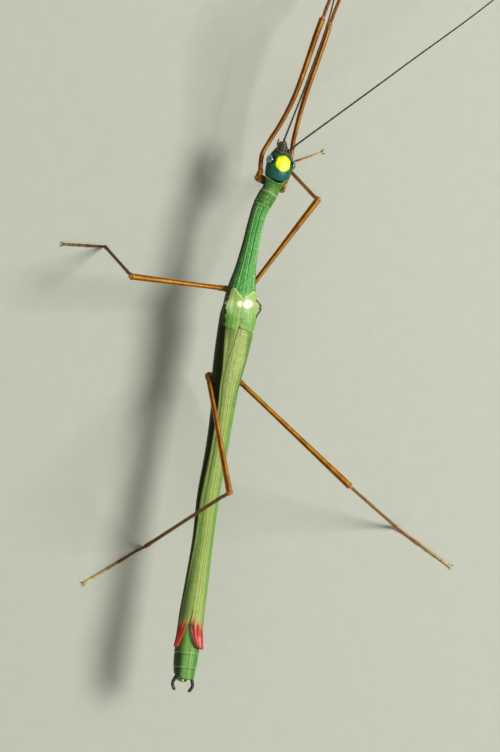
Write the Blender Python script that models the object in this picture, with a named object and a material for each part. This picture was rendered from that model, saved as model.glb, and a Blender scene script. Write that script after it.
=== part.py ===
"""A winged stick insect (a male of the Calvisia kind), life size and standing, as 49 separate anatomical parts.

The insect's head points along -Y, its left side is +X and +Z is up. Lengths below are in millimetres and
become metres when a mesh is made. The model is drawn about the join of its middle and hind thorax, and is
then moved so that the world origin lies on the floor under the middle of its bounding box.
"""

import math

import bmesh
import bpy
from mathutils import Matrix, Vector

MM = 0.001
UP = Vector((0, 0, 1))

# Driving dimensions.
BODY_AXIS_HEIGHT = 8.0
GAP = 0.07
WING_THICKNESS = 0.5
FEELER_RADIUS = 0.25
BODY_SIDES = 16
RING_ANGLES = (0, 22, 44, 66, 86.5, 93, 115, 137, 159, 180, -159, -137, -115, -93, -86.5, -66, -44, -22)
LIMB_SIDES = 8
FOOT_RADIUS = 0.31
ANKLE_HEIGHT = 0.50

# The trunk from the neck back: distance behind the wing base, sideways shift, rise, half width, half height.
TRUNK = (
    (-13.4, -1.40, 0.50, 0.86, 0.80),
    (-12.3, -1.02, 0.46, 1.04, 0.92),
    (-10.4, -0.38, 0.33, 0.95, 0.92),
    (-9.0, -0.14, 0.25, 0.83, 0.85),
    (-6.5, -0.03, 0.15, 0.87, 0.88),
    (-4.0, 0.02, 0.08, 1.05, 1.00),
    (-2.0, 0.02, 0.02, 1.38, 1.22),
    (-0.6, 0.02, 0.00, 1.63, 1.45),
    (0.8, -0.11, -0.08, 1.82, 1.68),
    (1.8, -0.18, -0.18, 1.95, 1.82),
    (5.0, -0.24, -0.30, 1.84, 1.92),
    (8.6, -0.19, -0.28, 1.53, 1.74),
    (11.6, -0.38, -0.10, 1.26, 1.36),
    (17.0, -0.50, 0.05, 1.17, 1.16),
    (20.5, -0.50, 0.09, 1.20, 1.14),
    (26.0, -0.76, 0.15, 1.08, 1.10),
    (30.3, -0.92, 0.20, 1.20, 1.16),
    (34.6, -1.06, 0.30, 1.34, 1.24),
    (38.4, -1.24, 0.36, 1.30, 1.20),
    (39.8, -1.33, 0.38, 1.19, 1.12),
    (40.8, -1.40, 0.40, 1.10, 1.00),
)
# Each piece of the trunk: its colour, where it starts and ends, and how many rings it has between its ends.
TRUNK_PIECES = {
    "prothorax": ("collar_green", -12.98, -10.4, 5),
    "mesothorax": ("thorax_green", -10.4, -0.75, 9),
    "metathorax": ("thorax_green", -0.75, 8.65, 8),
    "abdomen_front": ("abdomen_green", 8.65, 18.0, 5),
    "abdomen_middle": ("abdomen_green", 18.0, 28.0, 5),
    "abdomen_rear": ("abdomen_green", 28.0, 35.0, 4),
    "segment_8": ("abdomen_green", 35.0, 38.15, 7),
    "segment_9": ("abdomen_green", 38.15, 39.7, 3),
    "segment_10": ("abdomen_green", 39.7, 40.8, 3),
}
TEGMEN = (-0.68, 3.05)
WING = (3.12, 37.55)
WING_TIP_LENGTH = 4.0
# How far the left and the right wing tip stand off the trunk.
WING_TIP_FLARE = {1: 0.60, -1: 0.42}
# How far each wing tip's inner edge leaves the midline, left and right.
WING_TIP_PARTING = {1: math.radians(46), -1: math.radians(22)}
WING_HANG = math.radians(84)
WING_OVERLAP = math.radians(34)

# The head's own frame: forward, towards its left, and up, with the crown leaning a little to the left.
HEAD_CENTRE = (-1.43, -14.98, 0.55)
HEAD_TURN = math.radians(6)
HEAD_DIP = math.radians(5)
HEAD_LEAN = math.radians(2)
# Distance ahead of the head's centre, half width, half height and drop of each section of the capsule.
HEAD_SECTIONS = (
    (-1.80, 0.62, 0.58, 0.05),
    (-1.70, 0.86, 0.80, 0.04),
    (-1.42, 1.18, 0.99, 0.02),
    (-0.90, 1.37, 1.10, 0.00),
    (-0.30, 1.41, 1.13, 0.00),
    (0.35, 1.37, 1.09, 0.02),
    (0.95, 1.24, 0.98, 0.08),
    (1.45, 0.98, 0.84, 0.16),
    (1.85, 0.74, 0.66, 0.26),
    (2.05, 0.52, 0.46, 0.34),
)
MOUTH_SECTIONS = (
    (2.12, 0.50, 0.46, 0.42),
    (2.35, 0.54, 0.50, 0.52),
    (2.65, 0.46, 0.44, 0.64),
    (2.90, 0.26, 0.28, 0.76),
)
EYE_AHEAD = 0.28
EYE_SIDE = 1.26
EYE_RISE = 0.34
EYE_RADII = (0.52, 0.44, 0.50)
FEELER_BASE_AHEAD = 1.78
FEELER_BASE_SIDE = 0.46
FEELER_BASE_RISE = 0.62
SCAPE_LENGTH = 0.75
# Each feeler as lengths that blend into one curve: turn from straight ahead, rise, and length.
FEELERS = {
    1: ((-8.0, 9.0, 8.0), (-4.5, 9.0, 8.0), (1.0, 4.0, 14.0), (6.0, 0.0, 26.0)),
    -1: ((-43.0, 7.5, 14.0), (-43.0, 5.0, 14.0), (-39.0, -3.0, 14.0), (-37.0, -6.0, 14.0)),
}

# Femur, tibia and tarsus lengths of each pair, and the radii of femur and tibia.
LEG_LENGTHS = {"fore": (18.3, 17.3, 6.6), "mid": (12.8, 11.4, 4.6), "hind": (17.0, 20.0, 7.8)}
LEG_RADII = {"fore": (0.33, 0.26), "mid": (0.34, 0.27), "hind": (0.35, 0.27)}
# A fore femur bends round the head and then in again: share of its length, shift inwards, and drop.
FORE_FEMUR_BEND = (
    (0.00, 0.00, 0.00),
    (0.09, -0.34, 0.50),
    (0.19, -0.12, 0.72),
    (0.36, 0.32, 0.34),
    (0.52, 0.42, 0.06),
    (0.70, 0.28, 0.00),
    (1.00, 0.00, 0.00),
)

# Each leg: where its hip sits on the trunk (distance back, degrees from the top), the directions of the femur
# (turn from straight ahead towards the left, and rise), of the tibia and of the tarsus, in degrees.
LEGS = {
    "fore_left": ((-12.75, 112), (-7.7, 13.0), -29.5, -12.0),
    "fore_right": ((-12.95, -124), (-4.9, 2.0), -22.0, -34.0),
    "mid_left": ((-0.95, 118), (93.0, 20.0), -5.0, 97.0),
    "mid_right": ((-0.95, -144), (-21.1, 22.1), 6.7, -62.0),
    "hind_left": ((8.4, 118), (182.0, 46.0), 168.0, 130.0),
    "hind_right": ((8.4, -118), (-128.5, 33.0), -107.0, -114.0),
}
# Half thickness and half width of each pair's coxae.
COXA_SIZES = {"fore": (0.80, 0.50), "mid": (0.28, 0.46), "hind": (0.38, 0.46)}

COLOURS = {
    "head_blue_green": ((0.012, 0.110, 0.105), 0.30),
    "thorax_green": ((0.060, 0.330, 0.080), 0.35),
    "collar_green": ((0.130, 0.340, 0.060), 0.40),
    "tegmen_green": ((0.200, 0.400, 0.120), 0.40),
    "wing_green": ((0.330, 0.450, 0.160), 0.45),
    "abdomen_green": ((0.080, 0.270, 0.070), 0.45),
    "leg_orange": ((0.420, 0.110, 0.020), 0.40),
    "feeler_brown": ((0.050, 0.030, 0.015), 0.50),
    "eye_blue": ((0.150, 0.280, 0.360), 0.10),
    "mouth_brown": ((0.060, 0.070, 0.040), 0.45),
    "cercus_black": ((0.012, 0.010, 0.008), 0.40),
}


def material(name):
    """The Principled material of that name, made on first use."""
    found = bpy.data.materials.get(name)
    if found:
        return found
    colour, roughness = COLOURS[name]
    made = bpy.data.materials.new(name)
    made.use_nodes = True
    shader = made.node_tree.nodes["Principled BSDF"]
    shader.inputs["Base Color"].default_value = (*colour, 1)
    shader.inputs["Roughness"].default_value = roughness
    shader.inputs["Metallic"].default_value = 0
    return made


def smooth_value(rows, place, column):
    """One column of a table read at a place between its rows, on a smooth curve that doesn't overshoot."""
    keys = [row[0] for row in rows]
    values = [row[column] for row in rows]
    place = min(max(place, keys[0]), keys[-1])
    index = max(i for i in range(len(keys) - 1) if keys[i] <= place)

    def slope(i):
        if i in (0, len(keys) - 1):
            return 0.0 if i else (values[1] - values[0]) / (keys[1] - keys[0])
        before = (values[i] - values[i - 1]) / (keys[i] - keys[i - 1])
        after = (values[i + 1] - values[i]) / (keys[i + 1] - keys[i])
        return 0.0 if before * after <= 0 else 2 * before * after / (before + after)

    span = keys[index + 1] - keys[index]
    t = (place - keys[index]) / span
    start, end = values[index], values[index + 1]
    bend = t * t * (3 - 2 * t)
    return (
        start + (end - start) * bend
        + slope(index) * span * t * (1 - t) ** 2
        - slope(index + 1) * span * t * t * (1 - t)
    )


def trunk_point(back):
    return Vector((
        smooth_value(TRUNK, back, 1),
        back,
        BODY_AXIS_HEIGHT + smooth_value(TRUNK, back, 2),
    ))


def trunk_frame(back):
    """The trunk's axis point, its left and its up direction, and its half width and half height there."""
    step = 0.2
    along = (trunk_point(back + step) - trunk_point(back - step)).normalized()
    left = along.cross(UP).normalized()
    rise = left.cross(along).normalized()
    return trunk_point(back), left, rise, smooth_value(TRUNK, back, 3), smooth_value(TRUNK, back, 4)


def section_point(frame, angle, inset=0.0):
    """A point of the trunk's oval outline, at an angle from the top towards the left."""
    centre, left, rise, wide, high = frame
    return centre + left * (wide - inset) * math.sin(angle) + rise * (high - inset) * math.cos(angle)


def add_loft(name, rings, colour):
    """One closed body through rings of equal numbers of points, with a flat cap at each end."""
    mesh = bmesh.new()
    loops = [[mesh.verts.new(point * MM) for point in ring] for ring in rings]
    count = len(rings[0])
    for first, second in zip(loops, loops[1:]):
        for i in range(count):
            j = (i + 1) % count
            mesh.faces.new((first[i], first[j], second[j], second[i]))
    mesh.faces.new(loops[0])
    mesh.faces.new(loops[-1])
    bmesh.ops.recalc_face_normals(mesh, faces=mesh.faces)
    return add_object(name, mesh, colour)


def add_object(name, mesh, colour):
    data = bpy.data.meshes.new(name)
    mesh.to_mesh(data)
    mesh.free()
    data.shade_smooth()
    data.set_sharp_from_angle(angle=math.radians(50))
    data.materials.append(material(colour))
    obj = bpy.data.objects.new(name, data)
    bpy.context.scene.collection.objects.link(obj)
    return obj


def oval(centre, left, rise, wide, high, sides):
    return [
        centre + left * wide * math.sin(2 * math.pi * i / sides) + rise * high * math.cos(2 * math.pi * i / sides)
        for i in range(sides)
    ]


def stations(start, end, count):
    return [start + (end - start) * i / (count - 1) for i in range(count)]


def trunk_ring(back, rim=0.0):
    """A ring of the trunk, drawn in under the wings but not below their lower edges."""
    frame = trunk_frame(back)
    room = wing_room(back)
    return [section_point(frame, math.radians(angle), rim + (room if abs(angle) < 90 else 0.0)) for angle in RING_ANGLES]


def wing_flare(back, side):
    """How far a wing stands off the trunk: only its tip does."""
    progress = (back - WING[1] + WING_TIP_LENGTH) / WING_TIP_LENGTH
    return WING_TIP_FLARE[side] * min(max(progress, 0.0), 1.0) ** 2


def wing_room(back):
    """How far the trunk draws in under the fore and hind wings."""
    into_tegmen = (back - TEGMEN[0] + 0.1) / 0.05
    out_of_wing = (WING[1] + 0.10 - back) / 0.05
    room = WING_THICKNESS + GAP - min(wing_flare(back, 1), wing_flare(back, -1))
    return room * max(min(into_tegmen, out_of_wing, 1.0), 0.0)


def add_trunk():
    """The lengths of the trunk, each with its end rings drawn in a little so that the segments read."""
    rim = 0.07
    for name, (colour, start, end, count) in TRUNK_PIECES.items():
        first, last = start + GAP / 2, end - GAP / 2
        rings = [trunk_ring(back) for back in stations(first + rim, last - rim, count)]
        add_loft(name, [trunk_ring(first, rim), *rings, trunk_ring(last, rim)], colour)


def shell_ring(frame, start, end, steps, thickness, lift=0.0, hump=None):
    """A crescent: the trunk's outline between two angles, and the same stretch one thickness further in."""
    angles = stations(start, end, steps)
    outer = [section_point(frame, angle, -lift - (hump(angle) if hump else 0.0)) for angle in angles]
    inner = [section_point(frame, angle, thickness - lift) for angle in reversed(angles)]
    return outer + inner


def add_tegmen(side):
    """A fore wing: a short shield from the midline down the flank, with a blunt shoulder hump."""
    name = "tegmen_left" if side > 0 else "tegmen_right"
    seam = math.radians(2.2)
    hump_angle = math.radians(60)
    hump_back = 0.5
    hump_height = 0.70
    start, end = TEGMEN
    rings = []
    for back in stations(start, end, 9):
        progress = (back - start) / (end - start)
        lower = WING_HANG * (1 - 0.12 * progress ** 4)

        def hump(angle, back=back):
            across = (abs(angle) - hump_angle) / math.radians(15)
            along = (back - hump_back) / 0.75
            return hump_height * math.exp(-across ** 2 - along ** 2)

        rings.append(shell_ring(trunk_frame(back), side * seam, side * lower, 10, WING_THICKNESS, 0.0, hump))
    add_loft(name, rings, "tegmen_green")


def wing_seam(back):
    """Where the right wing's inner edge lies over the left wing, as an angle towards the left."""
    start, end = WING
    crossing = min((back - start) / 4.0, 1.0)
    uncrossing = min((end - WING_TIP_LENGTH - back) / 9.0, 1.0)
    share = max(min(crossing, uncrossing), 0.0)
    return WING_OVERLAP * share * share * (3 - 2 * share)


def add_wing(side):
    """A folded hind wing: a curved blade along the back and flank, ending in a point that leaves the midline."""
    name = "wing_left" if side > 0 else "wing_right"
    start, end = WING
    places = stations(start, end - WING_TIP_LENGTH, 13) + stations(end - WING_TIP_LENGTH, end, 7)[1:]
    seam_gap = math.radians(2.6)
    rings = []
    for back in places:
        progress = min(max((back - end + WING_TIP_LENGTH) / WING_TIP_LENGTH, 0.0), 1.0)
        inner = wing_seam(back) + side * (seam_gap + WING_TIP_PARTING[side] * progress ** 1.2)
        outer = side * (WING_HANG - math.radians(18) * progress ** 3)
        rings.append(shell_ring(trunk_frame(back), inner, outer, 8, WING_THICKNESS, wing_flare(back, side)))
    add_loft(name, rings, "wing_green")


def head_matrix():
    """From the head's own axes (left, back, up) to the model's."""
    turn = Matrix.Rotation(-HEAD_TURN, 4, "Z")
    dip = Matrix.Rotation(HEAD_DIP, 4, "X")
    lean = Matrix.Rotation(HEAD_LEAN, 4, "Y")
    centre = Vector(HEAD_CENTRE) + UP * BODY_AXIS_HEIGHT
    return Matrix.Translation(centre) @ turn @ dip @ lean


def head_place(ahead, side, rise):
    return head_matrix() @ Vector((side, -ahead, rise))


def head_axes():
    turned = head_matrix().to_3x3()
    return turned @ Vector((1, 0, 0)), turned @ Vector((0, -1, 0)), turned @ UP


def ellipsoid(centre, axes, radii, rings, sides):
    """Rings of an ellipsoid along its first axis, each a fraction of it apart, with tiny ends."""
    made = []
    for angle in stations(math.radians(9), math.radians(171), rings):
        along = -radii[0] * math.cos(angle)
        size = math.sin(angle)
        made.append(
            oval(centre + axes[0] * along, axes[1], axes[2], radii[1] * size, radii[2] * size, sides)
        )
    return made


def eye_rings(side, grow, rings, sides):
    left, ahead, rise = head_axes()
    centre = head_place(EYE_AHEAD, side * EYE_SIDE, EYE_RISE)
    length, width, height = (radius + grow for radius in EYE_RADII)
    return ellipsoid(centre, (ahead, left, rise), (length, width, height), rings, sides)


def add_head():
    left, ahead, rise = head_axes()
    rings = [
        oval(head_place(place, 0, -drop), left, rise, wide, high, BODY_SIDES)
        for place, wide, high, drop in HEAD_SECTIONS
    ]
    head = add_loft("head", rings, "head_blue_green")
    mouth = [
        oval(head_place(place, 0, -drop), left, rise, wide, high, 12)
        for place, wide, high, drop in MOUTH_SECTIONS
    ]
    add_loft("mouthparts", mouth, "mouth_brown")
    for side, word in ((1, "left"), (-1, "right")):
        add_loft(f"eye_{word}", eye_rings(side, 0.0, 8, 12), "eye_blue")
        socket = add_loft(f"socket_cutter_{word}", eye_rings(side, 0.03, 8, 12), "eye_blue")
        cut(head, socket)


def cut(target, cutter):
    """Takes the cutter's shape out of the target; the cutter itself isn't part of the model."""
    cutter.hide_render = True
    cutter.display_type = "WIRE"
    modifier = target.modifiers.new(cutter.name, "BOOLEAN")
    modifier.operation = "DIFFERENCE"
    modifier.object = cutter


def sweep(points, radii, sides, flat=None):
    """Rings along a path, each square to it and turned as little as possible from the one before."""
    rings = []
    side = None
    for i, point in enumerate(points):
        before = points[max(i - 1, 0)]
        after = points[min(i + 1, len(points) - 1)]
        along = (after - before).normalized()
        if side is None:
            side = along.cross(UP) if abs(along.z) < 0.95 else along.cross(Vector((1, 0, 0)))
        side = (side - along * side.dot(along)).normalized()
        other = along.cross(side)
        ring = oval(point, side, other, radii[i], radii[i], sides)
        if flat is not None:
            for corner in ring:
                corner.z = max(corner.z, flat)
        rings.append(ring)
    return rings


def curve_points(anchors, count):
    """Points at even steps of a smooth curve through the anchors."""
    rows = [(float(i), *anchor) for i, anchor in enumerate(anchors)]
    last = len(anchors) - 1
    return [
        Vector(tuple(smooth_value(rows, place, column) for column in (1, 2, 3)))
        for place in stations(0.0, float(last), count)
    ]


def heading(turn, rise=0.0):
    """A unit direction, turned from straight ahead towards the insect's left and raised, in degrees."""
    turn, rise = math.radians(turn), math.radians(rise)
    return Vector((math.sin(turn) * math.cos(rise), -math.cos(turn) * math.cos(rise), math.sin(rise)))


def add_limb(name, points, radii, colour):
    add_loft(name, sweep(points, radii, LIMB_SIDES), colour)


def between(start, end, count):
    return [start.lerp(end, share) for share in stations(0.0, 1.0, count)]


def bend_fore_femur(points, side):
    """Moves the points of a straight femur so that it passes round the head."""
    for share, point in zip(stations(0.0, 1.0, len(points)), points):
        point.x -= side * smooth_value(FORE_FEMUR_BEND, share, 1)
        point.z -= smooth_value(FORE_FEMUR_BEND, share, 2)


def add_leg(name):
    """Coxa, femur with its trochanter, tibia, and a tarsus that lies on the floor on flat pads."""
    (back, down), (turn, rise), shin_turn, foot_turn = LEGS[name]
    pair = name.split("_")[0]
    femur_length, tibia_length, tarsus_length = LEG_LENGTHS[pair]
    femur_radius, tibia_radius = LEG_RADII[pair]
    hip = add_coxa(name, trunk_frame(back), math.radians(down))
    hip_width = COXA_SIZES[pair][1]
    knee = hip + heading(turn, rise) * femur_length
    drop = knee.z - ANKLE_HEIGHT
    ankle = knee + heading(shin_turn) * math.sqrt(tibia_length ** 2 - drop ** 2) - UP * drop
    toe = ankle + heading(foot_turn) * tarsus_length
    toe.z = FOOT_RADIUS * 0.6

    along = (knee - hip).normalized()
    femur = between(hip + along * (hip_width + GAP), knee - along * 0.12, 11)
    if pair == "fore":
        bend_fore_femur(femur, 1 if name.endswith("left") else -1)
    taper = [0.8, 1.12, 0.98, 0.92, 0.92, 0.94, 0.96, 1.0, 1.08, 1.24, 0.95]
    add_limb(f"femur_{name}", femur, [femur_radius * share for share in taper], "leg_orange")

    shin = (ankle - knee).normalized()
    tibia = between(knee + shin * (femur_radius * 1.4 + GAP), ankle - shin * 0.1, 9)
    taper = [1.15, 1.1, 0.95, 0.93, 0.93, 0.93, 0.95, 1.05, 1.1]
    add_limb(f"tibia_{name}", tibia, [tibia_radius * share for share in taper], "leg_orange")

    add_tarsus(name, ankle, toe)


def add_coxa(name, frame, down):
    """A short knob against the trunk's flank; its middle is the hip."""
    thickness, width = COXA_SIZES[name.split("_")[0]]
    hip = section_point(frame, down, -thickness - GAP)
    out = (hip - section_point(frame, down)).normalized()
    along = frame[1].cross(frame[2])
    rings = ellipsoid(hip, (out, along, out.cross(along)), (thickness, width, width), 6, 8)
    add_loft(f"coxa_{name}", rings, "leg_orange")
    return hip


def add_tarsus(name, ankle, toe):
    """Five joints that narrow to the claws, flattened underneath where they rest on the floor."""
    along = (toe - ankle).normalized()
    start = ankle + along * (LEG_RADII[name.split("_")[0]][1] + GAP)
    waists = (0.0, 0.45, 0.62, 0.75, 0.86, 1.0)
    points, radii = [], []
    for first, last in zip(waists, waists[1:]):
        for share, size in ((0.06, 0.92), (0.80, 1.12)):
            points.append(start.lerp(toe, first + (last - first) * share))
            radii.append(FOOT_RADIUS * size)
    points.append(toe)
    radii.append(FOOT_RADIUS * 0.9)
    for point, radius in zip(points, radii):
        point.z = radius * 0.65
    add_loft(f"tarsus_{name}", sweep(points, radii, LIMB_SIDES, flat=0.0), "feeler_brown")


def add_feeler(side):
    """A feeler: its short thick base, then the long thread in two lengths."""
    word = "left" if side > 0 else "right"
    left, ahead, rise = head_axes()
    base = head_place(FEELER_BASE_AHEAD, side * FEELER_BASE_SIDE, FEELER_BASE_RISE - 0.1)
    turn, lift, _ = FEELERS[side][0]
    out = heading(turn, lift)
    scape_start = base + out * 0.2
    scape_end = scape_start + out * SCAPE_LENGTH
    add_limb(
        f"feeler_base_{word}", between(scape_start, scape_end, 4), [0.22, 0.28, 0.27, 0.25], "feeler_brown"
    )
    anchors = [scape_end + out * GAP]
    for turn, lift, length in FEELERS[side]:
        anchors.append(anchors[-1] + heading(turn, lift) * length)
    path = curve_points([tuple(point) for point in anchors], 33)
    cut_at = 16
    direction = (path[cut_at + 1] - path[cut_at]).normalized()
    near = path[:cut_at + 1]
    far = [path[cut_at] + direction * GAP] + path[cut_at + 1:]
    for points, part in ((near, "near"), (far, "far")):
        add_loft(f"feeler_{part}_{word}", sweep(points, [FEELER_RADIUS] * len(points), 6), "feeler_brown")


def add_cercus(side):
    """A short black clasper that curves inwards behind the last segment."""
    word = "left" if side > 0 else "right"
    centre, left, rise, wide, high = trunk_frame(TRUNK[-1][0])
    back = left.cross(rise)
    back = back if back.y > 0 else -back
    root = centre + left * side * wide * 0.86 + back * 0.06
    bend = root + left * side * 0.20 + back * 0.65
    tip = root - left * side * 0.10 + back * 1.25
    path = curve_points([tuple(root), tuple(bend), tuple(tip)], 7)
    add_limb(f"cercus_{word}", path, [0.22, 0.27, 0.26, 0.25, 0.25, 0.25, 0.18], "cercus_black")


def clear_scene():
    for obj in list(bpy.data.objects):
        bpy.data.objects.remove(obj)


def centre_on_floor():
    """Moves every object so that the origin is under the middle of the model's box."""
    bpy.context.view_layer.update()
    corners = [
        obj.matrix_world @ vertex.co
        for obj in bpy.data.objects if obj.type == "MESH" and not obj.hide_render
        for vertex in obj.data.vertices
    ]
    low = Vector(tuple(min(corner[axis] for corner in corners) for axis in range(3)))
    high = Vector(tuple(max(corner[axis] for corner in corners) for axis in range(3)))
    shift = Vector((-(low.x + high.x) / 2, -(low.y + high.y) / 2, -low.z))
    for obj in bpy.data.objects:
        obj.location += shift


def main():
    clear_scene()
    add_trunk()
    for side in (1, -1):
        add_tegmen(side)
        add_wing(side)
        add_feeler(side)
        add_cercus(side)
    add_head()
    for name in LEGS:
        add_leg(name)
    centre_on_floor()


main()
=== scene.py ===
"""The look of the winged stick insect: skins, wing blades, eyes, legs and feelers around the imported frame.

Sizes are in millimetres in the model's own place, drawn about the join of its middle and hind thorax, with its
head along -Y, its left side +X and +Z up. A mesh is moved to the frame's place, in metres, when it is made.

Throughout, back is a distance behind that join. turn is an angle in degrees from the top of the back, towards the
left, or towards its own side for a wing; down is the same angle either way. side is 1 for left and -1 for right,
lift is a height above the body's smooth outline, and a colour is the 0 to 255 values of a screen.
"""

import itertools
import math

import bpy
import numpy as np
from mathutils import Matrix, Vector


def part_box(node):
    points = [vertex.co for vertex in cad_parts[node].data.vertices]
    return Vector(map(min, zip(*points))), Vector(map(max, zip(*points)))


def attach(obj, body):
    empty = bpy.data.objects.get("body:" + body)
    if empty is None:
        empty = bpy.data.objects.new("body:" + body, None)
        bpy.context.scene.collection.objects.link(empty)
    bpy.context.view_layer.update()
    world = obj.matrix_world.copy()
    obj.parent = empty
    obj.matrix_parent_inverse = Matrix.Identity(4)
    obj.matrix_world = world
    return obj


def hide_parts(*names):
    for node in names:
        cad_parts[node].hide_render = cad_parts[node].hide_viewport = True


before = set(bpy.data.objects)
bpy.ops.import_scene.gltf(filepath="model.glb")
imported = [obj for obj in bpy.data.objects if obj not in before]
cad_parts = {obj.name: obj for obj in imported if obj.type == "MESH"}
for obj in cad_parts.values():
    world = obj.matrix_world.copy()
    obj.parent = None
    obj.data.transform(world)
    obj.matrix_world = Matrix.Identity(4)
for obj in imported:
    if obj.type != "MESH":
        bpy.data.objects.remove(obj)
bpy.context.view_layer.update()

MM = 0.001
UP = Vector((0, 0, 1))
WORDS = {1: "left", -1: "right"}
BODY_AXIS_HEIGHT = 8.0

# The trunk from the neck back: distance behind the wing base, sideways shift, rise, half width, half height.
TRUNK = (
    (-13.4, -1.40, 0.50, 0.86, 0.80),
    (-12.3, -1.02, 0.46, 1.04, 0.92),
    (-10.4, -0.38, 0.33, 0.95, 0.92),
    (-9.0, -0.14, 0.25, 0.83, 0.85),
    (-6.5, -0.03, 0.15, 0.87, 0.88),
    (-4.0, 0.02, 0.08, 1.05, 1.00),
    (-2.0, 0.02, 0.02, 1.38, 1.22),
    (-0.6, 0.02, 0.00, 1.63, 1.45),
    (0.8, -0.11, -0.08, 1.82, 1.68),
    (1.8, -0.18, -0.18, 1.95, 1.82),
    (5.0, -0.24, -0.30, 1.84, 1.92),
    (8.6, -0.19, -0.28, 1.53, 1.74),
    (11.6, -0.38, -0.10, 1.26, 1.36),
    (17.0, -0.50, 0.05, 1.17, 1.16),
    (20.5, -0.50, 0.09, 1.20, 1.14),
    (26.0, -0.76, 0.15, 1.08, 1.10),
    (30.3, -0.92, 0.20, 1.20, 1.16),
    (34.6, -1.06, 0.30, 1.34, 1.24),
    (38.4, -1.24, 0.36, 1.30, 1.20),
    (39.8, -1.33, 0.38, 1.19, 1.12),
    (40.8, -1.40, 0.40, 1.10, 1.00),
)
TRUNK_NODES = (
    "prothorax", "mesothorax", "metathorax", "abdomen_front", "abdomen_middle", "abdomen_rear",
    "segment_8", "segment_9", "segment_10",
)
SEGMENT_ENDS = (-10.4, -0.75, 8.65, 13.3, 18.0, 23.0, 28.0, 31.6, 35.0, 38.15, 39.7)
TRUNK_START = -12.98
TRUNK_END = 40.86

# Where the fore wings start and end and the hind wings end, and the room that the trunk leaves below them.
TEGMEN = (-0.68, 3.05)
WING_END = 37.55
WING_ROOM = 0.57
WING_TIP_LENGTH = 4.0
WING_TIP_FLARE = {1: 0.60, -1: 0.42}

HEAD_CENTRE = (-1.43, -14.98, 0.55)
HEAD_TURN, HEAD_DIP, HEAD_LEAN = (math.radians(angle) for angle in (6, 5, 2))
# Distance ahead of the head's centre, half width, half height and drop of each section of the capsule.
HEAD_SECTIONS = (
    (-1.88, 0.20, 0.18, 0.05),
    (-1.80, 0.62, 0.58, 0.05),
    (-1.70, 0.86, 0.80, 0.04),
    (-1.42, 1.18, 0.99, 0.02),
    (-0.90, 1.37, 1.10, 0.00),
    (-0.30, 1.41, 1.13, 0.00),
    (0.35, 1.37, 1.09, 0.02),
    (0.95, 1.24, 0.98, 0.08),
    (1.45, 0.98, 0.84, 0.16),
    (1.85, 0.74, 0.66, 0.26),
    (2.05, 0.52, 0.46, 0.34),
    (2.13, 0.16, 0.14, 0.38),
)
# Places on the head: how far ahead of its centre, how far to one side, and how high.
EYE_AHEAD, EYE_SIDE, EYE_RISE = 0.28, 1.26, 0.34
EYE_RADII = (0.52, 0.44, 0.50)
FEELER_AHEAD, FEELER_SIDE, FEELER_RISE = 1.78, 0.46, 0.52
SOCKET_AHEAD = 1.62
SCAPE_LENGTH = 0.75
# The stretches of each feeler: the way it points, its rise, and its length.
FEELERS = {
    1: ((-8.0, 9.0, 8.0), (-4.5, 9.0, 8.0), (1.0, 4.0, 14.0), (6.0, 0.0, 26.0)),
    -1: ((-43.0, 7.5, 14.0), (-43.0, 5.0, 14.0), (-39.0, -3.0, 14.0), (-37.0, -6.0, 14.0)),
}

# Each leg: its hip (distance back, degrees from the top), the femur's turn and rise, the tibia's and tarsus's turn.
LEGS = {
    "fore_left": ((-12.75, 112), (-7.7, 13.0), -29.5, -12.0),
    "fore_right": ((-12.95, -124), (-4.9, 2.0), -22.0, -34.0),
    "mid_left": ((-0.95, 118), (93.0, 20.0), -5.0, 97.0),
    "mid_right": ((-0.95, -144), (-21.1, 22.1), 6.7, -62.0),
    "hind_left": ((8.4, 118), (182.0, 46.0), 168.0, 130.0),
    "hind_right": ((8.4, -118), (-128.5, 33.0), -107.0, -114.0),
}
# For each pair of legs, the lengths of femur, tibia and tarsus, the coxa's thickness and width, the femur's radius.
LEG_PAIRS = {
    "fore": ((18.3, 17.3, 6.6), (0.80, 0.50), 0.2871),
    "mid": ((12.8, 11.4, 4.6), (0.28, 0.46), 0.2958),
    "hind": ((17.0, 20.0, 7.8), (0.38, 0.46), 0.3045),
}
# For each leg, the radii of coxa, tibia and tarsus, and the colours of femur, tibia, tarsus and toe.
DULL_FOOT, FOOT, TOE = (88, 54, 6), (150, 90, 30), (206, 182, 104)
LEG_LOOKS = {
    "fore_left": ((0.44, 0.1872, 0.15), (134, 72, 4), (128, 76, 6), FOOT, TOE),
    "fore_right": ((0.38, 0.1872, 0.15), (130, 64, 4), (128, 76, 6), FOOT, TOE),
    "mid_left": ((0.34, 0.1674, 0.15), (146, 94, 6), (66, 44, 2), DULL_FOOT, (132, 96, 30)),
    "mid_right": ((0.34, 0.1944, 0.10), (168, 108, 14), (176, 102, 4), FOOT, TOE),
    "hind_left": ((0.29, 0.1944, 0.15), (162, 94, 4), (106, 72, 6), DULL_FOOT, TOE),
    "hind_right": ((0.29, 0.1674, 0.15), (182, 122, 4), (116, 82, 6), FOOT, TOE),
}
# A fore femur bends round the head and then in again: share of its length, shift inwards, and drop.
FORE_FEMUR_BEND = (
    (0.00, 0.00, 0.00),
    (0.09, -0.34, 0.50),
    (0.19, -0.12, 0.72),
    (0.36, 0.32, 0.34),
    (0.52, 0.42, 0.06),
    (0.70, 0.28, 0.00),
    (1.00, 0.00, 0.00),
)
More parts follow.
